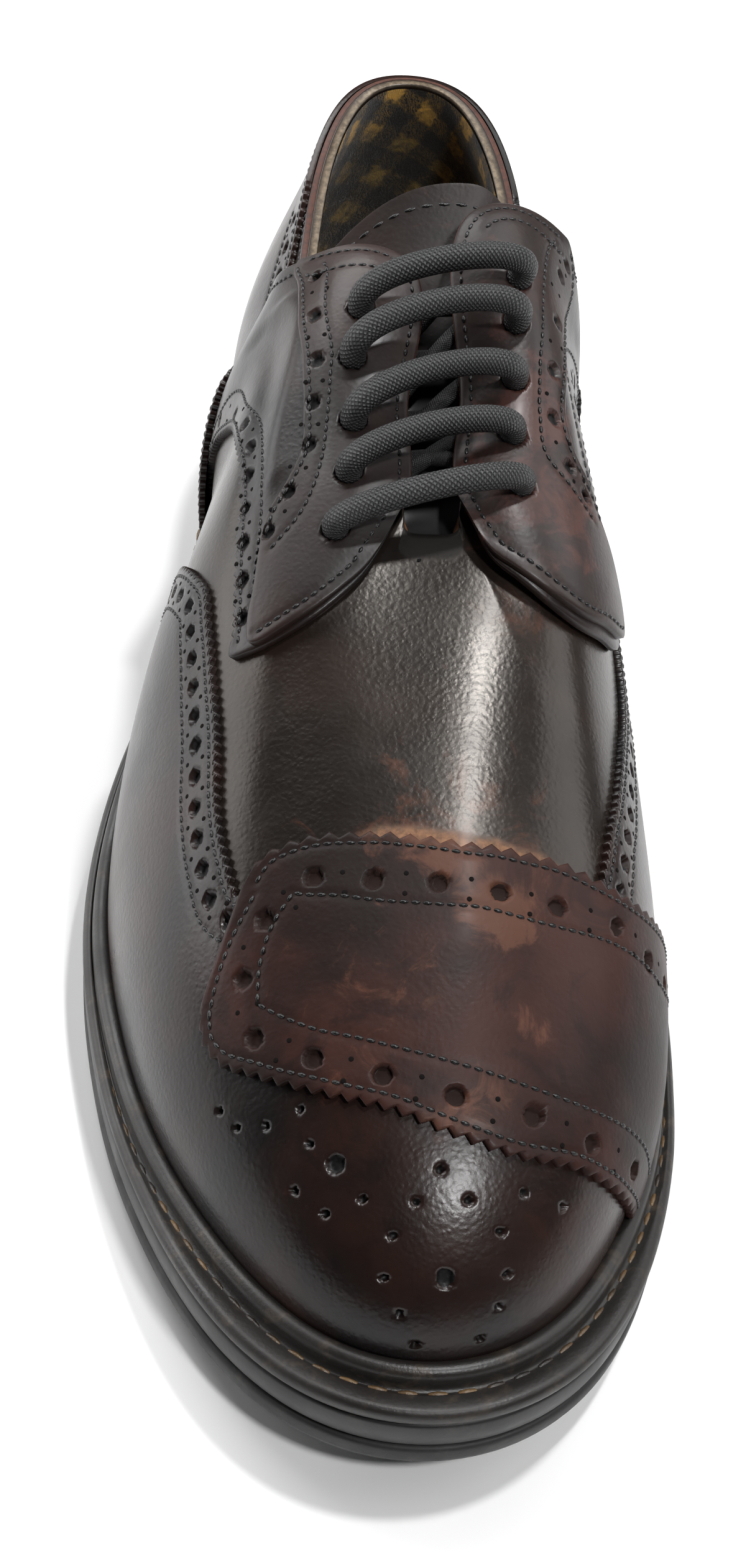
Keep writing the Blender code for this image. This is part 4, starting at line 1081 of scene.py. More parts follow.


# Near-black colour of the small holes' caps: painted shade.
HOLE_SHADE, tree, shader = new_material("hole_shade", Specular_IOR_Level=0.1)
place = object_place(tree)
tone = ranged(tree, noise(tree, place, 900.0, 3.0), 0.3, 0.7)
shade = blended(tree, tone, (0.0025, 0.002, 0.002, 1.0), (0.007, 0.005, 0.0045, 1.0))
tree.links.new(shade, shader.inputs["Base Color"])
tree.links.new(ranged(tree, tone, 0.0, 1.0, 0.75, 0.9), shader.inputs["Roughness"])
DARK_THREAD = waxed_thread("dark_thread", (0.006, 0.0055, 0.0055), (0.003, 0.003, 0.003))
STITCH_RADIUS = 0.40
MEDALLION_LARGE = np.array(((21.27, 0.296), (22.10, 0.18)))
MEDALLION_SMALL = np.array((
    (22.05, 0.318), (21.88, 0.278), (22.26, 0.28), (21.72, 0.232), (22.49, 0.234), (22.67, 0.274), (22.98, 0.226),
    (21.49, 0.268), (21.23, 0.228), (21.0, 0.232), (21.05, 0.30), (20.72, 0.28), (20.51, 0.24), (20.35, 0.234),
    (20.95, 0.332), (21.68, 0.172), (22.53, 0.172), (21.8, 0.12), (22.47, 0.124), (21.93, 0.068), (22.36, 0.072),
))
MEDALLION_SIZES = (0.64, 1.45)
wing_edge = drawn_line(WING_TOP, DRAWN_STEP)
outer_teeth = evenly(between(wing_edge, 16.0, WING_TOE[0]), WING_TOOTH / 4, 4)
inner_teeth = evenly(between(wing_edge, WING_TOE[1], 28.0), WING_TOOTH / 4, 4)
toe_line = np.array([(u, WING_TOE_H) for u in np.linspace(outer_teeth[-1, 0], inner_teeth[0, 0], 80)])
toe_columns = evenly(toe_line, DRAWN_STEP)[1:-1, 0]
toe_high = np.stack([toe_columns, np.interp(toe_columns, wing_edge[:, 0], wing_edge[:, 1])], axis=1)
wing_high = np.concatenate([outer_teeth, toe_high, inner_teeth])
wing_low = np.stack([wing_high[:, 0], np.full(len(wing_high), FOOT_EDGE)], axis=1)
wing_notch = np.concatenate([gimped(outer_teeth, -WING_TOOTH_DEEP), 0.0 * toe_high,
                             gimped(inner_teeth, -WING_TOOTH_DEEP)])
wing_sides = [between(wing_edge, 16.6, 20.1), between(wing_edge, 23.9, 27.4)]
wing_seams = [beside(wing_edge, -EDGE_SEAM)] + [beside(stretch, -WING_SECOND_SEAM) for stretch in wing_sides]
wing_rows = [punched_row(stretch, -WING_HOLE_ROW, WING_HOLE_SPACING) for stretch in wing_sides]
wing_holes = [(line, BIG_HOLE) for line in wing_rows]
wing_holes += list(zip((MEDALLION_SMALL, MEDALLION_LARGE), MEDALLION_SIZES))
# Rows are close in the sewn band along the side edges, and over the medallion where the strap hides that band.
wing_shares = across(wing_low, wing_high, 0.0, WING_BAND, 0.40, 80)
strap_foot_u, strap_foot_h = np.array(STRAP_LOW).T
open_h = np.interp(wing_high[:, 0], strap_foot_u, strap_foot_h, right=0.02) + 0.04
open_share = np.clip((open_h - FOOT_EDGE) / (wing_high[:, 1] - FOOT_EDGE), 0.3, 0.9)[:, None]
toe_rows = wing_shares.shape[1] - 8
toe_shares = np.concatenate([open_share * np.linspace(0.0, 1.0, toe_rows)[None],
                             open_share + (1.0 - open_share) * np.linspace(0.0, 1.0, 9)[None, 1:]], axis=1)
at_toe = np.clip(np.minimum(wing_high[:, 0] - 19.8, 24.2 - wing_high[:, 0]) / 0.5, 0.0, 1.0)[:, None]
wing_shares = wing_shares + (toe_shares - wing_shares) * at_toe
wing = leather_piece("wing_overlay", wing_low, wing_high, wing_shares, FIRST_LAYER, wing_seams, wing_holes,
                     cut_low=False, notch_high=wing_notch)
WING_LEATHER = burnished_leather("wing_leather", (0.0062, 0.005, 0.0048), (0.024, 0.0110, 0.0085),
                                 (0.048, 0.0185, 0.0135), (0.010, 0.008, 0.007), BLACK_HOLLOW_SHADE, 0.25, 0.35, 1.6,
                                 polish=0.30)
finished(wing, WING_LEATHER, "wing", "wing")
thread("wing_stitches", sewn(wing_seams, FIRST_LAYER), DARK_THREAD, "wing", STITCH_PITCH, STITCH_RADIUS)
pinholes("wing_pinholes", np.concatenate([pairs_between(line, PAIR_SPREAD) for line in wing_rows]), FIRST_LAYER, "wing")

# Toe strap: the broad red-brown band laid over the wing across the toe box, gimped on both edges,
# sewn in two rows and punched all round.
STRAP_TOOTH = 3.2
STRAP_TOOTH_DEEP = 1.15
STRAP_STEPS = 8
STRAP_INNER_HIGH = ((20.49, 0.532), (20.96, 0.57), (21.55, 0.588), (22.03, 0.59), (22.53, 0.582), (23.1, 0.546),
                    (23.71, 0.474), (24.25, 0.376), (24.65, 0.274), (25.06, 0.165))
STRAP_INNER_LOW = ((20.47, 0.396), (20.92, 0.422), (21.33, 0.44), (21.69, 0.442), (22.13, 0.432), (22.56, 0.408),
                   (23.05, 0.354), (23.47, 0.274), (23.8, 0.178), (24.04, 0.06))
STRAP_LEFT = ((20.12, 0.318), (20.08, 0.356), (20.07, 0.416), (20.13, 0.488))
STRAP_INNER_LEFT = ((20.47, 0.396), (20.39, 0.438), (20.4, 0.488), (20.49, 0.532))
STRAP_HOLE = 1.6
STRAP_TOP_SEAM = 2.2
STRAP_LOW_SEAM = 2.4
STRAP_BAND = 11.0
STRAP_PAIR_SPREAD = 1.75
# Large holes from the inner end of the upper edge round the outer side to the inner end of the lower edge.
STRAP_HOLES = np.array((
    (25.12, 0.15), (24.78, 0.255), (24.42, 0.352), (24.04, 0.446), (23.37, 0.542), (22.72, 0.594), (22.04, 0.612),
    (21.31, 0.604), (20.65, 0.566), (20.31, 0.478), (20.29, 0.402), (20.52, 0.36), (21.0, 0.394), (21.57, 0.41),
    (22.16, 0.396), (22.77, 0.356), (23.23, 0.278), (23.65, 0.166),
))
strap_top_edge = drawn_line(STRAP_HIGH, DRAWN_STEP)
strap_low_edge = drawn_line(STRAP_LOW, DRAWN_STEP)
strap_high = evenly(strap_top_edge, STRAP_TOOTH / STRAP_STEPS, STRAP_STEPS)
strap_even = np.linspace(0.0, len(strap_low_edge) - 1.0, len(strap_high))
strap_low = picked(strap_even, np.arange(len(strap_low_edge)), strap_low_edge)
strap_seams = [beside(strap_top_edge, -STRAP_TOP_SEAM), beside(strap_low_edge, STRAP_LOW_SEAM)]
for rows in (STRAP_LEFT, STRAP_INNER_HIGH, STRAP_INNER_LOW, STRAP_INNER_LEFT):
    strap_seams.append(drawn_line(rows, DRAWN_STEP))
strap_shares = across(strap_low, strap_high, STRAP_BAND, STRAP_BAND, 0.38, 30)
strap = leather_piece("strap_overlay", strap_low, strap_high, strap_shares, SECOND_LAYER, strap_seams,
                      [(STRAP_HOLES, STRAP_HOLE)], cut_start=True,
                      notch_low=gimped(strap_low, STRAP_TOOTH_DEEP, STRAP_STEPS),
                      notch_high=gimped(strap_high, -STRAP_TOOTH_DEEP, STRAP_STEPS))
# The strap's hole floors show the red-brown layer beneath, darkened as painted shade.
STRAP_LEATHER = burnished_leather("strap_leather", (0.014, 0.0085, 0.0075), (0.046, 0.0185, 0.0145),
                                  (0.092, 0.040, 0.026), (0.008, 0.006, 0.005), (0.020, 0.0105, 0.008), 0.38, 0.50, 1.4,
                                  polish=0.14)
finished(strap, STRAP_LEATHER, "toe_strap", "toe_strap")
thread("strap_stitches", sewn(strap_seams, SECOND_LAYER), DARK_THREAD, "toe_strap", STITCH_PITCH,
       STITCH_RADIUS)
pinholes("strap_pinholes", pairs_between(STRAP_HOLES, STRAP_PAIR_SPREAD), SECOND_LAYER, "toe_strap")

# Quarters: the two side pieces that carry the lacing. Each sweeps from the heel round the collar to the throat,
# with an arch cut in its lower edge, and stands off the vamp at the front as an open-laced shoe does.
QUARTER_TOOTH = 2.0
QUARTER_TOOTH_DEEP = 0.8
TOP_EDGE = 0.995
# Ring places between which the collar is sewn.
COLLAR_SEAM = (6.9, 15.1)
COLLAR_SEAM_IN = 2.6
ARCH_SEAM = 1.8
ARCH_BAND = 9.6
COLLAR_BAND = 3.2
FINE_ROW = 0.42
QUARTER_PAIR_SPREAD = 1.5
# Where the front edges stand off the vamp: ring place, height, half width, height above the layer.
STAND_OFF = ((3.35, 0.93, 15.0, 2.6), (3.75, 0.78, 13.0, 2.2), (4.2, 0.62, 12.0, 1.2),
             (19.35, 0.93, 13.0, 1.3), (18.95, 0.82, 12.0, 0.8))
# Lower and front edge of each quarter: ring place, height, and the ring place at the top that its column runs to.
OUTER_LOW = ((11.0, FOOT_EDGE, 11.0), (14.0, FOOT_EDGE, 14.0), (14.75, FOOT_EDGE, 14.6), (14.95, 0.10, 14.8),
             (15.14, 0.24, 15.0), (15.47, 0.346, 15.3), (15.93, 0.426, 15.8), (16.52, 0.527, 16.45),
             (16.83, 0.574, 16.85), (17.3, 0.60, 17.3), (17.72, 0.592, 17.65), (18.16, 0.574, 17.95),
             (18.27, 0.566, 18.02), (18.43, 0.605, 18.15), (18.78, 0.705, 18.4), (19.14, 0.808, 18.7),
             (19.40, 0.885, 18.95), (19.38, 0.93, 19.02), (19.2, 0.965, 19.08), (19.1, 0.985, 19.1))
INNER_LOW = ((3.05, 0.985, 3.05), (2.95, 0.955, 3.15), (2.8, 0.916, 3.3), (3.16, 0.826, 3.55), (3.47, 0.73, 3.8),
             (3.78, 0.64, 4.05), (4.06, 0.568, 4.25), (4.5, 0.455, 4.5), (4.9, 0.46, 4.85), (5.2, 0.475, 5.2),
             (5.6, 0.50, 5.6), (6.0, 0.50, 6.0), (6.4, 0.45, 6.4), (6.8, 0.33, 6.8), (7.05, 0.20, 7.05),
             (7.25, 0.08, 7.3), (7.4, FOOT_EDGE, 7.5), (8.0, FOOT_EDGE, 8.0), (11.0, FOOT_EDGE, 11.0))
OUTER_ARCH_SEAM = ((15.2, 0.36), (15.53, 0.466), (16.27, 0.542), (16.71, 0.626), (17.04, 0.662), (17.55, 0.664),
                   (17.84, 0.646), (18.27, 0.62))
INNER_ARCH_SEAM = ((4.62, 0.56), (5.0, 0.56), (5.5, 0.595), (6.0, 0.60), (6.5, 0.55), (6.95, 0.42), (7.25, 0.27))
OUTER_ARCH_HOLES = ((15.2, 0.31), (15.48, 0.41), (16.1, 0.486), (16.51, 0.562), (16.79, 0.606), (17.01, 0.618),
                    (17.28, 0.622), (17.56, 0.622), (17.85, 0.614), (18.13, 0.604))
INNER_ARCH_HOLES = ((4.66, 0.505), (4.93, 0.508), (5.2, 0.522), (5.47, 0.543), (5.75, 0.55), (6.03, 0.545),
                    (6.3, 0.52), (6.55, 0.473), (6.78, 0.41), (6.96, 0.335))


def stand_off(u, h):
    """How far the quarters' front edges stand off the vamp."""
    total = np.zeros(np.shape(u))
    points = last(u, h)
    for at_u, at_h, wide, high in STAND_OFF:
        away = np.linalg.norm(points - last(at_u, at_h), axis=-1)
        total += (high * np.exp(-(away / wide)**2))**4
    return total**0.25


QUARTER_LEATHER = burnished_leather("quarter_leather", (0.0085, 0.0068, 0.0065), (0.022, 0.012, 0.010),
                                    (0.050, 0.020, 0.0145), (0.10, 0.034, 0.020), BLACK_HOLLOW_SHADE)
QUARTER_SIDES = (
    ("lateral", OUTER_LOW, (14.8, 18.2), OUTER_ARCH_SEAM, OUTER_ARCH_HOLES),
    ("medial", INNER_LOW, (4.55, 7.35), INNER_ARCH_SEAM, INNER_ARCH_HOLES),
)
for side, low_rows, (arch_start, arch_end), seam_rows, hole_rows in QUARTER_SIDES:
    edge = drawn_line(low_rows, DRAWN_STEP)
    teeth = evenly(edge, QUARTER_TOOTH / 4, 4)
    low = teeth[:, :2]
    high = np.stack([teeth[:, 2], np.full(len(teeth), TOP_EDGE)], axis=1)
    arch = (low[:, 0] > arch_start) & (low[:, 0] < arch_end)
    notch = np.where(arch[:, None], gimped(low, QUARTER_TOOTH_DEEP), 0.0)
    arch_edge = between(edge[:, :2], arch_start, arch_end)
    collar_ends = (max(COLLAR_SEAM[0], teeth[:, 2].min()), min(COLLAR_SEAM[1], teeth[:, 2].max()))
    collar = drawn_line([(u, TOP_EDGE) for u in np.linspace(*collar_ends, 24)], DRAWN_STEP)
    seams = [beside(arch_edge, ARCH_SEAM), drawn_line(seam_rows, DRAWN_STEP), beside(collar, -COLLAR_SEAM_IN)]
    holes = np.array(hole_rows)
    shares = across(low, high, ARCH_BAND, COLLAR_BAND, FINE_ROW, 52)
    piece = leather_piece("quarter_" + side + "_overlay", low, high, shares, FIRST_LAYER, seams, [(holes, BIG_HOLE)],
                          stand=stand_off, raw_high=1.0, notch_low=notch)
    finished(piece, QUARTER_LEATHER, "quarter_" + side, "quarter_" + side)
    thread("quarter_" + side + "_stitches", sewn(seams, FIRST_LAYER, stand_off), DARK_THREAD,
           "quarter_" + side, STITCH_PITCH, STITCH_RADIUS)
    pinholes("quarter_" + side + "_pinholes", pairs_between(holes, QUARTER_PAIR_SPREAD), FIRST_LAYER,
             "quarter_" + side, stand_off)

# Facings: the second layer of leather under the lace, with a punched and double-sewn band along its rear edge,
# rounded top corners and five lace holes a side.
LACE_COLUMNS = ("outer_u", "outer_h", "inner_u", "inner_h", "arch", "settle")
LACES = (
    (16.42, 0.865, 5.68, 0.84, 14.0, 5.2),
    (16.77, 0.862, 5.40, 0.85, 18.0, 9.0),
    (17.33, 0.88, 5.05, 0.866, 15.0, 7.6),
    (17.89, 0.86, 4.57, 0.876, 11.5, 5.0),
    (18.37, 0.82, 4.08, 0.846, 8.5, 1.6),
)
LACE_ROWS = [dict(zip(LACE_COLUMNS, values)) for values in LACES]
LACE_HOLE = 2.5
BAND_SEAM = 1.1
FRONT_SEAM = 1.8
SLOT_SEAM = 2.0
HEAD_SEAM = 4.6
FACING_BAND = 10.0
SLOT_BAND = 3.0
FACING_PAIR_SPREAD = 1.4
OUTER_FACING = ((15.2, 0.985, 15.2), (15.32, 0.90, 15.35), (15.5, 0.825, 15.55), (15.67, 0.78, 15.7),
                (15.9, 0.742, 15.9), (16.18, 0.724, 16.15), (16.62, 0.746, 16.6), (17.0, 0.768, 17.0),
                (17.29, 0.77, 17.3), (17.49, 0.736, 17.5), (17.62, 0.688, 17.65), (17.84, 0.664, 17.8),
                (18.1, 0.642, 17.95), (18.3, 0.622, 18.05), (18.44, 0.62, 18.15), (18.78, 0.717, 18.42),
                (19.12, 0.82, 18.72), (19.36, 0.89, 18.95), (19.35, 0.93, 19.02), (19.2, 0.965, 19.08),
                (19.1, 0.985, 19.1))
INNER_FACING = ((3.05, 0.985, 3.05), (2.97, 0.955, 3.15), (2.84, 0.922, 3.3), (3.18, 0.838, 3.55), (3.49, 0.742, 3.8),
                (3.8, 0.652, 4.05), (4.08, 0.582, 4.25), (4.48, 0.478, 4.45), (4.72, 0.52, 4.65), (4.88, 0.62, 4.85),
                (4.93, 0.70, 4.95), (5.11, 0.724, 5.12), (5.48, 0.689, 5.48), (5.85, 0.664, 5.85), (6.15, 0.66, 6.15),
                (6.42, 0.71, 6.42), (6.62, 0.80, 6.6), (6.76, 0.90, 6.74), (6.82, 0.985, 6.82))
OUTER_BAND_SEAM = ((15.72, 0.85), (16.04, 0.80), (16.75, 0.816), (17.15, 0.824), (17.55, 0.81), (17.91, 0.754),
                   (17.95, 0.686))
INNER_BAND_SEAM = ((6.45, 0.86), (6.15, 0.798), (5.59, 0.774), (5.22, 0.798), (4.92, 0.81), (4.62, 0.792),
                   (4.61, 0.722), (4.65, 0.648))
OUTER_BAND_HOLES = ((15.88, 0.795), (16.31, 0.762), (16.67, 0.78), (16.98, 0.788), (17.33, 0.786), (17.61, 0.738),
                    (17.78, 0.688))
INNER_BAND_HOLES = ((6.45, 0.79), (6.19, 0.742), (5.69, 0.718), (5.31, 0.752), (4.99, 0.77), (4.76, 0.728),
                    (4.73, 0.676))
FACING_LEATHER = burnished_leather("facing_leather", (0.012, 0.0082, 0.0075), (0.028, 0.0145, 0.012),
                                   (0.066, 0.026, 0.020), (0.19, 0.055, 0.028), BLACK_HOLLOW_SHADE, 0.38, 0.50, polish=0.40)
# Side, lower edge, then the ends of the punched band, of the front edge and of the head; seam, holes, lace columns.
FACING_SIDES = (
    ("lateral", OUTER_FACING, (15.3, 17.75), (18.4, 19.3), (15.4, 16.3), OUTER_BAND_SEAM, OUTER_BAND_HOLES,
     ("outer_u", "outer_h")),
    ("medial", INNER_FACING, (4.85, 6.78), (2.9, 4.5), (5.9, 6.7), INNER_BAND_SEAM, INNER_BAND_HOLES,
     ("inner_u", "inner_h")),
)
for side, low_rows, band_ends, front_ends, head_ends, seam_rows, hole_rows, lace_columns in FACING_SIDES:
    edge = drawn_line(low_rows, FINE_ROW)
    low = edge[:, :2]
    high = np.stack([edge[:, 2], np.full(len(edge), TOP_EDGE)], axis=1)
    slot_places = np.linspace(high[:, 0].min() + 0.1, high[:, 0].max() - 0.1, 16)
    slot_edge = drawn_line([(u, TOP_EDGE) for u in slot_places], DRAWN_STEP)
    head = between(slot_edge, *head_ends)
    seams = [beside(between(low, *band_ends), BAND_SEAM), drawn_line(seam_rows, DRAWN_STEP),
             beside(between(low, *front_ends), FRONT_SEAM), beside(slot_edge, -SLOT_SEAM), beside(head, -HEAD_SEAM)]
    lace_places = np.array([[row[name] for name in lace_columns] for row in LACE_ROWS])
    holes = np.array(hole_rows)
    shares = across(low, high, FACING_BAND, SLOT_BAND, FINE_ROW, 42)
    piece = leather_piece("facing_" + side + "_overlay", low, high, shares, SECOND_LAYER, seams,
                          [(holes, BIG_HOLE), (lace_places, LACE_HOLE)], stand=stand_off, raw_high=1.0)
    finished(piece, FACING_LEATHER, "facing_" + side, "facing_" + side)
    thread("facing_" + side + "_stitches", sewn(seams, SECOND_LAYER, stand_off), DARK_THREAD,
           "facing_" + side, STITCH_PITCH, STITCH_RADIUS)
    pinholes("facing_" + side + "_pinholes", pairs_between(holes, FACING_PAIR_SPREAD), SECOND_LAYER,
             "facing_" + side, stand_off)

# Counter: the heel overlay of the same leather as the wing, wrapped round the back of the quarters.
# It is gimped, punched and sewn like the wing.
COUNTER_TOP = ((6.7, FOOT_EDGE), (6.76, 0.20), (6.9, 0.40), (7.1, 0.52), (7.5, 0.62), (8.0, 0.72), (8.4, 0.80),
               (8.8, 0.90), (9.05, 0.975), (9.4, 0.99), (11.0, 0.99), (12.6, 0.99), (12.95, 0.975), (13.2, 0.90),
               (13.6, 0.80), (14.0, 0.72), (14.5, 0.62), (14.9, 0.52), (15.1, 0.40), (15.24, 0.20), (15.3, FOOT_EDGE))
COUNTER_HOLE_ROW = 5.5
COUNTER_SECOND_SEAM = 9.0
COUNTER_HOLE_SPACING = 6.6
COUNTER_BAND = 10.5
counter_edge = drawn_line(COUNTER_TOP, DRAWN_STEP)
counter_teeth = evenly(counter_edge, QUARTER_TOOTH / 4, 4)
free = (counter_teeth[:, 0] < 9.1) | (counter_teeth[:, 0] > 12.9)
counter_notch = np.where(free[:, None], gimped(counter_teeth, -QUARTER_TOOTH_DEEP), 0.0)
counter_low = np.stack([np.linspace(6.7, 15.3, len(counter_teeth)), np.full(len(counter_teeth), FOOT_EDGE)], axis=1)
counter_sides = [between(counter_edge, 6.7, 9.0), between(counter_edge, 13.0, 15.3)]
counter_seams = [beside(counter_edge, -EDGE_SEAM)]
counter_seams += [beside(stretch, -COUNTER_SECOND_SEAM) for stretch in counter_sides]
counter_rows = [punched_row(stretch, -COUNTER_HOLE_ROW, COUNTER_HOLE_SPACING) for stretch in counter_sides]
counter_shares = across(counter_low, counter_teeth, 0.0, COUNTER_BAND, FINE_ROW, 50)
counter = leather_piece("counter_overlay", counter_low, counter_teeth, counter_shares, SECOND_LAYER, counter_seams,
                        [(line, BIG_HOLE) for line in counter_rows], cut_low=False, notch_high=counter_notch)
finished(counter, WING_LEATHER, "counter", "counter")
thread("counter_stitches", sewn(counter_seams, SECOND_LAYER), DARK_THREAD, "counter", STITCH_PITCH,
       STITCH_RADIUS)
counter_pairs = np.concatenate([pairs_between(line, PAIR_SPREAD) for line in counter_rows])
pinholes("counter_pinholes", counter_pairs, SECOND_LAYER, "counter")

# Tongue: a soft brown leather tongue sewn in under the vamp. It follows the inside of the facings, bridges the slot
# and comes out above the lace with a rolled, sewn top edge.
TONGUE_THICK = 1.8
TONGUE_UNDER_COLUMNS = ("ring", "edge_h", "sink")
TONGUE_UNDER = ((0.6, 0.97, -1.2), (1.3, 0.93, 0.2), (2.2, 0.87, 1.0), (3.2, 0.85, 1.0), (4.2, 0.83, 1.0),
                (5.0, 0.82, 1.2), (5.5, 0.82, 1.8))
TONGUE_TOP_COLUMNS = ("x", "y", "z", "half_outer", "half_inner", "fall", "sweep")
TONGUE_TOP = ((2.0, 192.0, 111.6, 23.5, 15.5, 15.0, 3.0), (4.0, 198.0, 116.6, 25.5, 13.5, 16.0, 4.0),
              (6.0, 203.5, 121.3, 27.5, 13.5, 17.0, 6.0))
TONGUE_FRONT_H = 0.95
TONGUE_FRONT_LIFT = -0.8
# Share of the tongue, from its top, that keeps its polished colour; below that it is painted black as shade under the
# lace, and made rough.
TONGUE_UNSHADED = 0.32
TONGUE_ACROSS = 61
TONGUE_ALONG = 120
TONGUE_SEAM_ROWS = 8
TONGUE_STITCH_PITCH = 3.2
TONGUE_STITCH_RADIUS = 0.45
TONGUE_ROUND = 0.6


def spread_evenly(points, count):
    """A line of points spaced evenly along its length."""
    length = run_length(points)
    return picked(np.linspace(0.0, length[-1], count), length, points)


def through(points, count):
    """Smooth curves through rows of points: the first axis of the array is drawn finer."""
    knots = np.arange(len(points), dtype=float)
    slope = np.gradient(points, axis=0)
    at = np.linspace(0.0, knots[-1], count)
    i = np.clip(at.astype(int), 0, len(points) - 2)
    t = (at - i)[:, None, None]
    return eased(t, points[i], points[i + 1], slope[i], slope[i + 1])


tongue_front = np.linspace(-0.9, 0.9, TONGUE_ACROSS)
front_seat, _ = seat(tongue_front, np.full(TONGUE_ACROSS, TONGUE_FRONT_H), np.full(TONGUE_ACROSS, TONGUE_FRONT_LIFT))
tongue_sections = [front_seat]
for values in TONGUE_UNDER:
    row = dict(zip(TONGUE_UNDER_COLUMNS, values))
    heights = np.linspace(row["edge_h"], 0.985, 12)
    lift = -WALL - row["sink"]
    inner = last(row["ring"], heights) + last_normal(row["ring"], heights) * lift
    outer = last(-row["ring"], heights) + last_normal(-row["ring"], heights) * lift
    run = np.linalg.norm(inner[-1] - outer[-1])
    lead_outer = unit(outer[-1] - outer[-3]) * run * 0.9
    lead_inner = unit(inner[-3] - inner[-1]) * run * 0.9
    t = np.linspace(0.0, 1.0, 14)[1:-1, None]
    bridge = eased(t, outer[-1], inner[-1], lead_outer, lead_inner)
    tongue_sections.append(spread_evenly(np.concatenate([outer, bridge, inner[::-1]]), TONGUE_ACROSS))
for values in TONGUE_TOP:
    row = dict(zip(TONGUE_TOP_COLUMNS, values))
    s = np.linspace(-1.0, 1.0, TONGUE_ACROSS)
    x = row["x"] + np.where(s < 0.0, row["half_outer"], row["half_inner"]) * s
    y = row["y"] - row["sweep"] * s * s
    z = row["z"] - row["fall"] * np.abs(s)**2.4
    tongue_sections.append(spread_evenly(np.stack([x, y, z], axis=1), TONGUE_ACROSS))
tongue_skin = through(np.array(tongue_sections), TONGUE_ALONG)
tongue_skin = np.swapaxes(tongue_skin, 0, 1)
tongue_depth = np.repeat(np.linspace(1.0, 0.0, TONGUE_ALONG)[None], TONGUE_ACROSS, axis=0)
# Painted shade: the tongue below its top share is marked for the black hollow colour.
tongue = laid_sheet("tongue_leather_sheet", tongue_skin, rubbed=0.30 + 0.0 * tongue_depth, cut=0.0 * tongue_depth,
                    hole=np.clip((tongue_depth - TONGUE_UNSHADED) * 5.0, -1.0, 1.0))
thickness = tongue.modifiers.new("thickness", "SOLIDIFY")
thickness.thickness = TONGUE_THICK * MM
thickness.offset = -1.0
rounding = tongue.modifiers.new("rounding", "BEVEL")
rounding.width = TONGUE_ROUND * MM
rounding.segments = 3
rounding.angle_limit = math.radians(50.0)
bpy.context.view_layer.objects.active = tongue
bpy.ops.object.modifier_apply(modifier="thickness")
bpy.ops.object.modifier_apply(modifier="rounding")
TONGUE_LEATHER = burnished_leather("tongue_leather", (0.010, 0.0075, 0.007), (0.022, 0.013, 0.0105),
                                   (0.046, 0.019, 0.014), (0.014, 0.010, 0.008), BLACK_HOLLOW_SHADE, 0.40, 0.54, 1.4,
                                   polish=0.30)
finished(tongue, TONGUE_LEATHER, "tongue", "tongue")
tongue_out = unit(np.cross(np.gradient(tongue_skin, axis=0), np.gradient(tongue_skin, axis=1)))
tongue_row = TONGUE_ALONG - TONGUE_SEAM_ROWS
tongue_line = (tongue_skin[2:-2, tongue_row], tongue_out[2:-2, tongue_row])
thread("tongue_stitches", [tongue_line], DARK_THREAD, "tongue", TONGUE_STITCH_PITCH, TONGUE_STITCH_RADIUS)

# Lace: one round waxed cotton lace, plaited, nearly black. Five bars cross from hole to hole over the slot,
# and the runs between them cross under the facings.
LACE_RADIUS = 2.4
LACE_LIFT = SECOND_LAYER + SEAM_GAP + 0.1
LACE_INSIDE = 5.0
LACE_SETTLE = np.array((0.09, 0.84, -0.53))
CROSS_H = 0.965
CROSS_SINK = 0.2
CROSS_RISE = 1.2
CROSS_THICK = 0.62
LACE_AROUND = 20
LACE_ALONG = 90


def lace_material():
    """Waxed plait: two sets of strands cross round the lace; its colour follows the plait's height, painted shade in
    the hollows and painted highlight on the strand tops.
    """
    material, tree, shader = new_material("waxed_lace", Specular_IOR_Level=0.45)
    uv = add_node(tree, "ShaderNodeUVMap", uv_map="UVMap").outputs["UV"]
    axes = add_node(tree, "ShaderNodeSeparateXYZ", {0: uv})
    along = sums(tree, "MULTIPLY", axes.outputs["X"], 58.0)
    round_lace = sums(tree, "MULTIPLY", axes.outputs["Y"], 14.0)
    waves = []
    for direction in ("ADD", "SUBTRACT"):
        slant = sums(tree, "MULTIPLY", sums(tree, direction, along, round_lace), math.pi)
        waves.append(sums(tree, "ABSOLUTE", sums(tree, "SINE", slant)))
    plait = sums(tree, "MULTIPLY", waves[0], waves[1])
    fibre = noise(tree, object_place(tree), 2200.0, 4.0)
    height = sums(tree, "ADD", plait, sums(tree, "MULTIPLY", fibre, 0.5))
    # Painted shade and highlight: the colour runs from near-black in the plait's hollows to grey on its strand tops.
    tone = ranged(tree, height, 0.2, 1.1)
    colour = blended(tree, tone, (0.011, 0.011, 0.011, 1.0), (0.055, 0.056, 0.057, 1.0))
    tree.links.new(colour, shader.inputs["Base Color"])
    tree.links.new(ranged(tree, fibre, 0.3, 0.7, 0.32, 0.52), shader.inputs["Roughness"])
    relief(tree, shader, height, 0.22)
    return material


def lace_run(name, path, radius):
    """Round lace along a path of points."""
    tangent = unit(np.gradient(path, axis=0))
    across = unit(np.cross(tangent, np.array((0.0, 1.0, 0.05))))
    other = np.cross(tangent, across)
    turn = np.linspace(0.0, 2.0 * np.pi, LACE_AROUND + 1)
    ring = np.cos(turn)[None, :, None] * across[:, None] + np.sin(turn)[None, :, None] * other[:, None]
    return laid_sheet(name, path[:, None] + ring * np.reshape(radius, (-1, 1, 1)), joined=True)


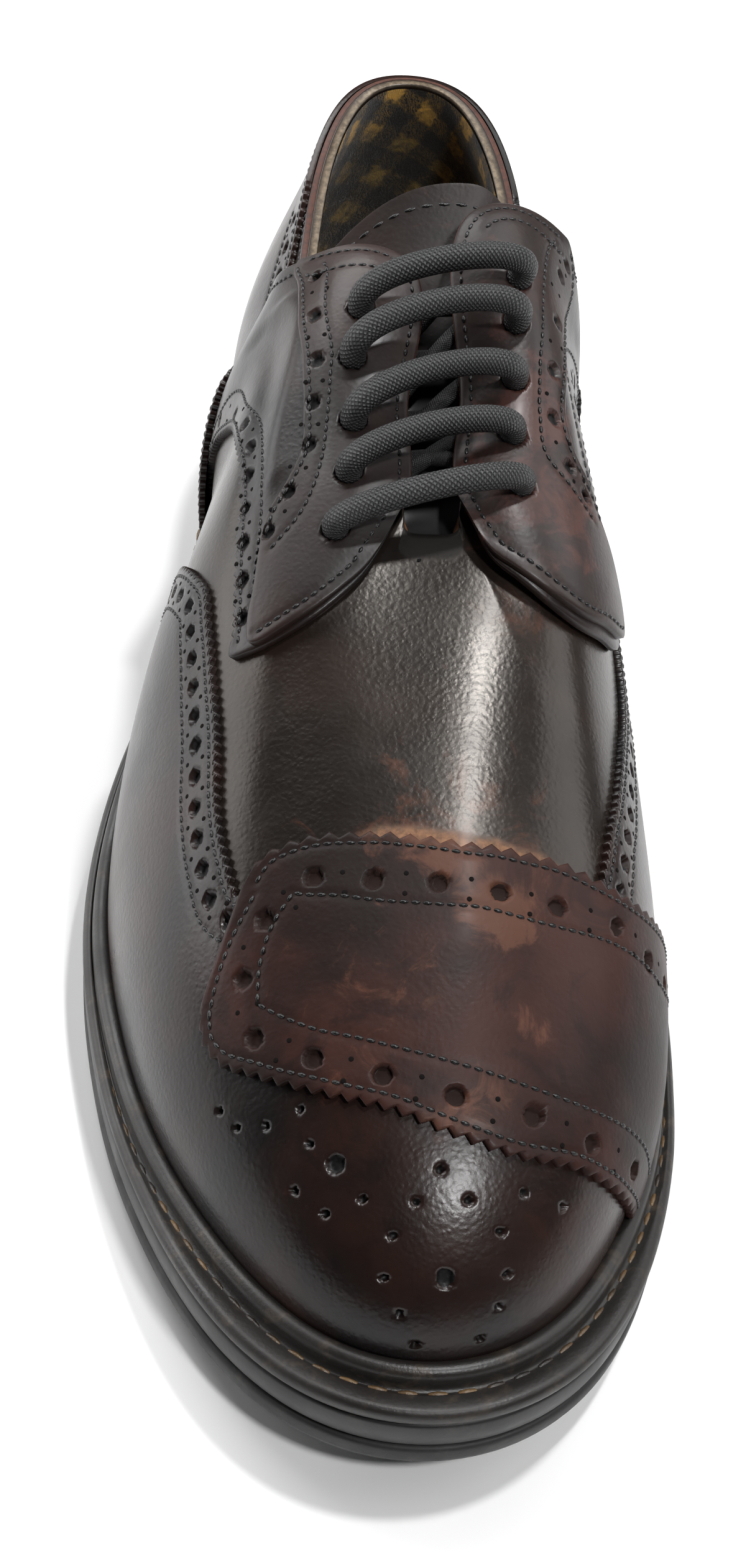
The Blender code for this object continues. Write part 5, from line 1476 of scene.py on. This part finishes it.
WAXED_LACE = lace_material()
for number, row in enumerate(LACE_ROWS, start=1):
    a_point, a_out = seat(np.array(row["outer_u"]), np.array(row["outer_h"]), np.array(LACE_LIFT))
    b_point, b_out = seat(np.array(row["inner_u"]), np.array(row["inner_h"]), np.array(LACE_LIFT))
    a_lift = stand_off(np.array(row["outer_u"]), np.array(row["outer_h"]))
    b_lift = stand_off(np.array(row["inner_u"]), np.array(row["inner_h"]))
    a_point = a_point + a_out * a_lift
    b_point = b_point + b_out * b_lift
    t = np.linspace(0.0, 1.0, LACE_ALONG)[:, None]
    bar = arched(t, a_point, a_point + a_out * row["arch"], b_point + b_out * row["arch"], b_point)
    bar = bar + LACE_SETTLE * row["settle"] * np.sin(np.pi * t)**2
    start = a_point - a_out * np.linspace(LACE_INSIDE, 0.6, 6)[:, None]
    end = b_point - b_out * np.linspace(0.6, LACE_INSIDE, 6)[:, None]
    path = np.concatenate([start, bar, end])
    piece = lace_run("lace_" + str(number), path, np.full(len(path), LACE_RADIUS))
    finished(piece, WAXED_LACE, "lace", "lace_bar_" + str(number))
for number, (above, below) in enumerate(zip(LACE_ROWS[:-1], LACE_ROWS[1:]), start=1):
    for way, outer_row, inner_row in (("down", above, below), ("up", below, above)):
        outer, _ = seat(np.array(outer_row["outer_u"]), np.array(CROSS_H), np.array(-WALL - CROSS_SINK))
        inner, _ = seat(np.array(inner_row["inner_u"]), np.array(CROSS_H), np.array(-WALL - CROSS_SINK))
        t = np.linspace(0.0, 1.0, 24)[:, None]
        path = outer * (1.0 - t) + inner * t + np.array((0.0, 0.0, CROSS_RISE)) * np.sin(np.pi * t)
        thick = LACE_RADIUS * CROSS_THICK * np.sin(np.pi * (0.2 + 0.6 * t[:, 0]))
        piece = lace_run("lace_cross_" + way + "_" + str(number), path, thick)
        finished(piece, WAXED_LACE, "lace")

# Floor, light and camera: a white table under soft studio lights, two of them small enough to gleam on the leather.
# The camera looks from in front of the toe and above.
EYE = np.array((-34.45, -154.7, 306.04))
TURN = -5.8
DIP = 43.46
ROLL = 7.05
FRAME_HIGH = 2521
FOCAL_PIXELS = 3336.0
SENSOR = 36.0
# White studio walls round the table and a dimmer ceiling: the heights of the change, the two strengths,
# and the strength that the camera sees.
WALL_TOP = (0.06, 0.42)
WALL_LIGHT = 1.2
CEILING_LIGHT = 0.50
WHITE_SEEN = 20.0

bpy.ops.object.select_all(action="DESELECT")
bpy.ops.mesh.primitive_plane_add(size=6.0)
floor = bpy.context.object
floor.name = "floor"
white, tree, shader = new_material("white_floor", Base_Color=(0.93, 0.93, 0.93, 1.0), Roughness=0.55,
                                   Specular_IOR_Level=0.3)
floor.data.materials.append(white)
floor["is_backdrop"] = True

scene = bpy.context.scene
world = bpy.data.worlds.new("studio")
scene.world = world
world.use_nodes = True
sky = world.node_tree
height = add_node(sky, "ShaderNodeSeparateXYZ", {0: add_node(sky, "ShaderNodeTexCoord").outputs["Generated"]})
glow = ranged(sky, height.outputs["Z"], WALL_TOP[0], WALL_TOP[1], WALL_LIGHT, CEILING_LIGHT)
seen = sums(sky, "MULTIPLY", add_node(sky, "ShaderNodeLightPath").outputs["Is Camera Ray"], WHITE_SEEN)
sky.links.new(sums(sky, "MAXIMUM", glow, seen), sky.nodes["Background"].inputs["Strength"])

# Name, place, size, watts, aimed at the middle of the shoe.
LIGHTS = (
    ("key", (0.40, -0.72, 1.25), 0.16, 9.5),
    ("overhead", (0.25, 0.08, 1.25), 0.10, 7.0),
    ("left_wall", (-1.3, 0.55, 0.45), 1.0, 9.0),
    ("right_wall", (1.3, 0.25, 0.9), 1.0, 7.0),
    ("behind_left", (-0.60, 0.85, 1.25), 1.0, 16.0),
    ("behind_right", (0.60, 0.95, 1.25), 1.0, 6.0),
)
for name, at, size, watts in LIGHTS:
    bpy.ops.object.light_add(type="AREA", location=at)
    lamp = bpy.context.object
    lamp.name = name
    lamp.data.shape = "DISK"
    lamp.data.size = size
    lamp.data.energy = watts
    aim = np.array((0.0, 0.0, 0.05)) - np.array(at)
    back = -unit(aim)
    right = unit(np.cross((0.0, 0.0, 1.0), back) + np.array((1e-6, 0.0, 0.0)))
    above = np.cross(back, right)
    turn = np.eye(4)
    turn[:3, 0] = right
    turn[:3, 1] = above
    turn[:3, 2] = back
    turn[:3, 3] = at
    lamp.matrix_world = Matrix(turn.tolist())

turn, dip, roll = np.radians((TURN, DIP, ROLL))
forward = np.array((-np.sin(turn) * np.cos(dip), np.cos(turn) * np.cos(dip), -np.sin(dip)))
level_right = np.array((np.cos(turn), np.sin(turn), 0.0))
level_up = np.cross(level_right, forward)
pose = np.eye(4)
pose[:3, 0] = np.cos(roll) * level_right + np.sin(roll) * level_up
pose[:3, 1] = -np.sin(roll) * level_right + np.cos(roll) * level_up
pose[:3, 2] = -forward
pose[:3, 3] = (EYE - BOX_CENTRE) * MM
bpy.ops.object.camera_add()
camera = bpy.context.object
camera.name = "camera"
camera.matrix_world = Matrix(pose.tolist())
camera.data.sensor_width = SENSOR
camera.data.lens = FOCAL_PIXELS / FRAME_HIGH * SENSOR
camera.data.clip_start = 0.01
scene.camera = camera
scene.view_settings.view_transform = "Standard"

low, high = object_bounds()
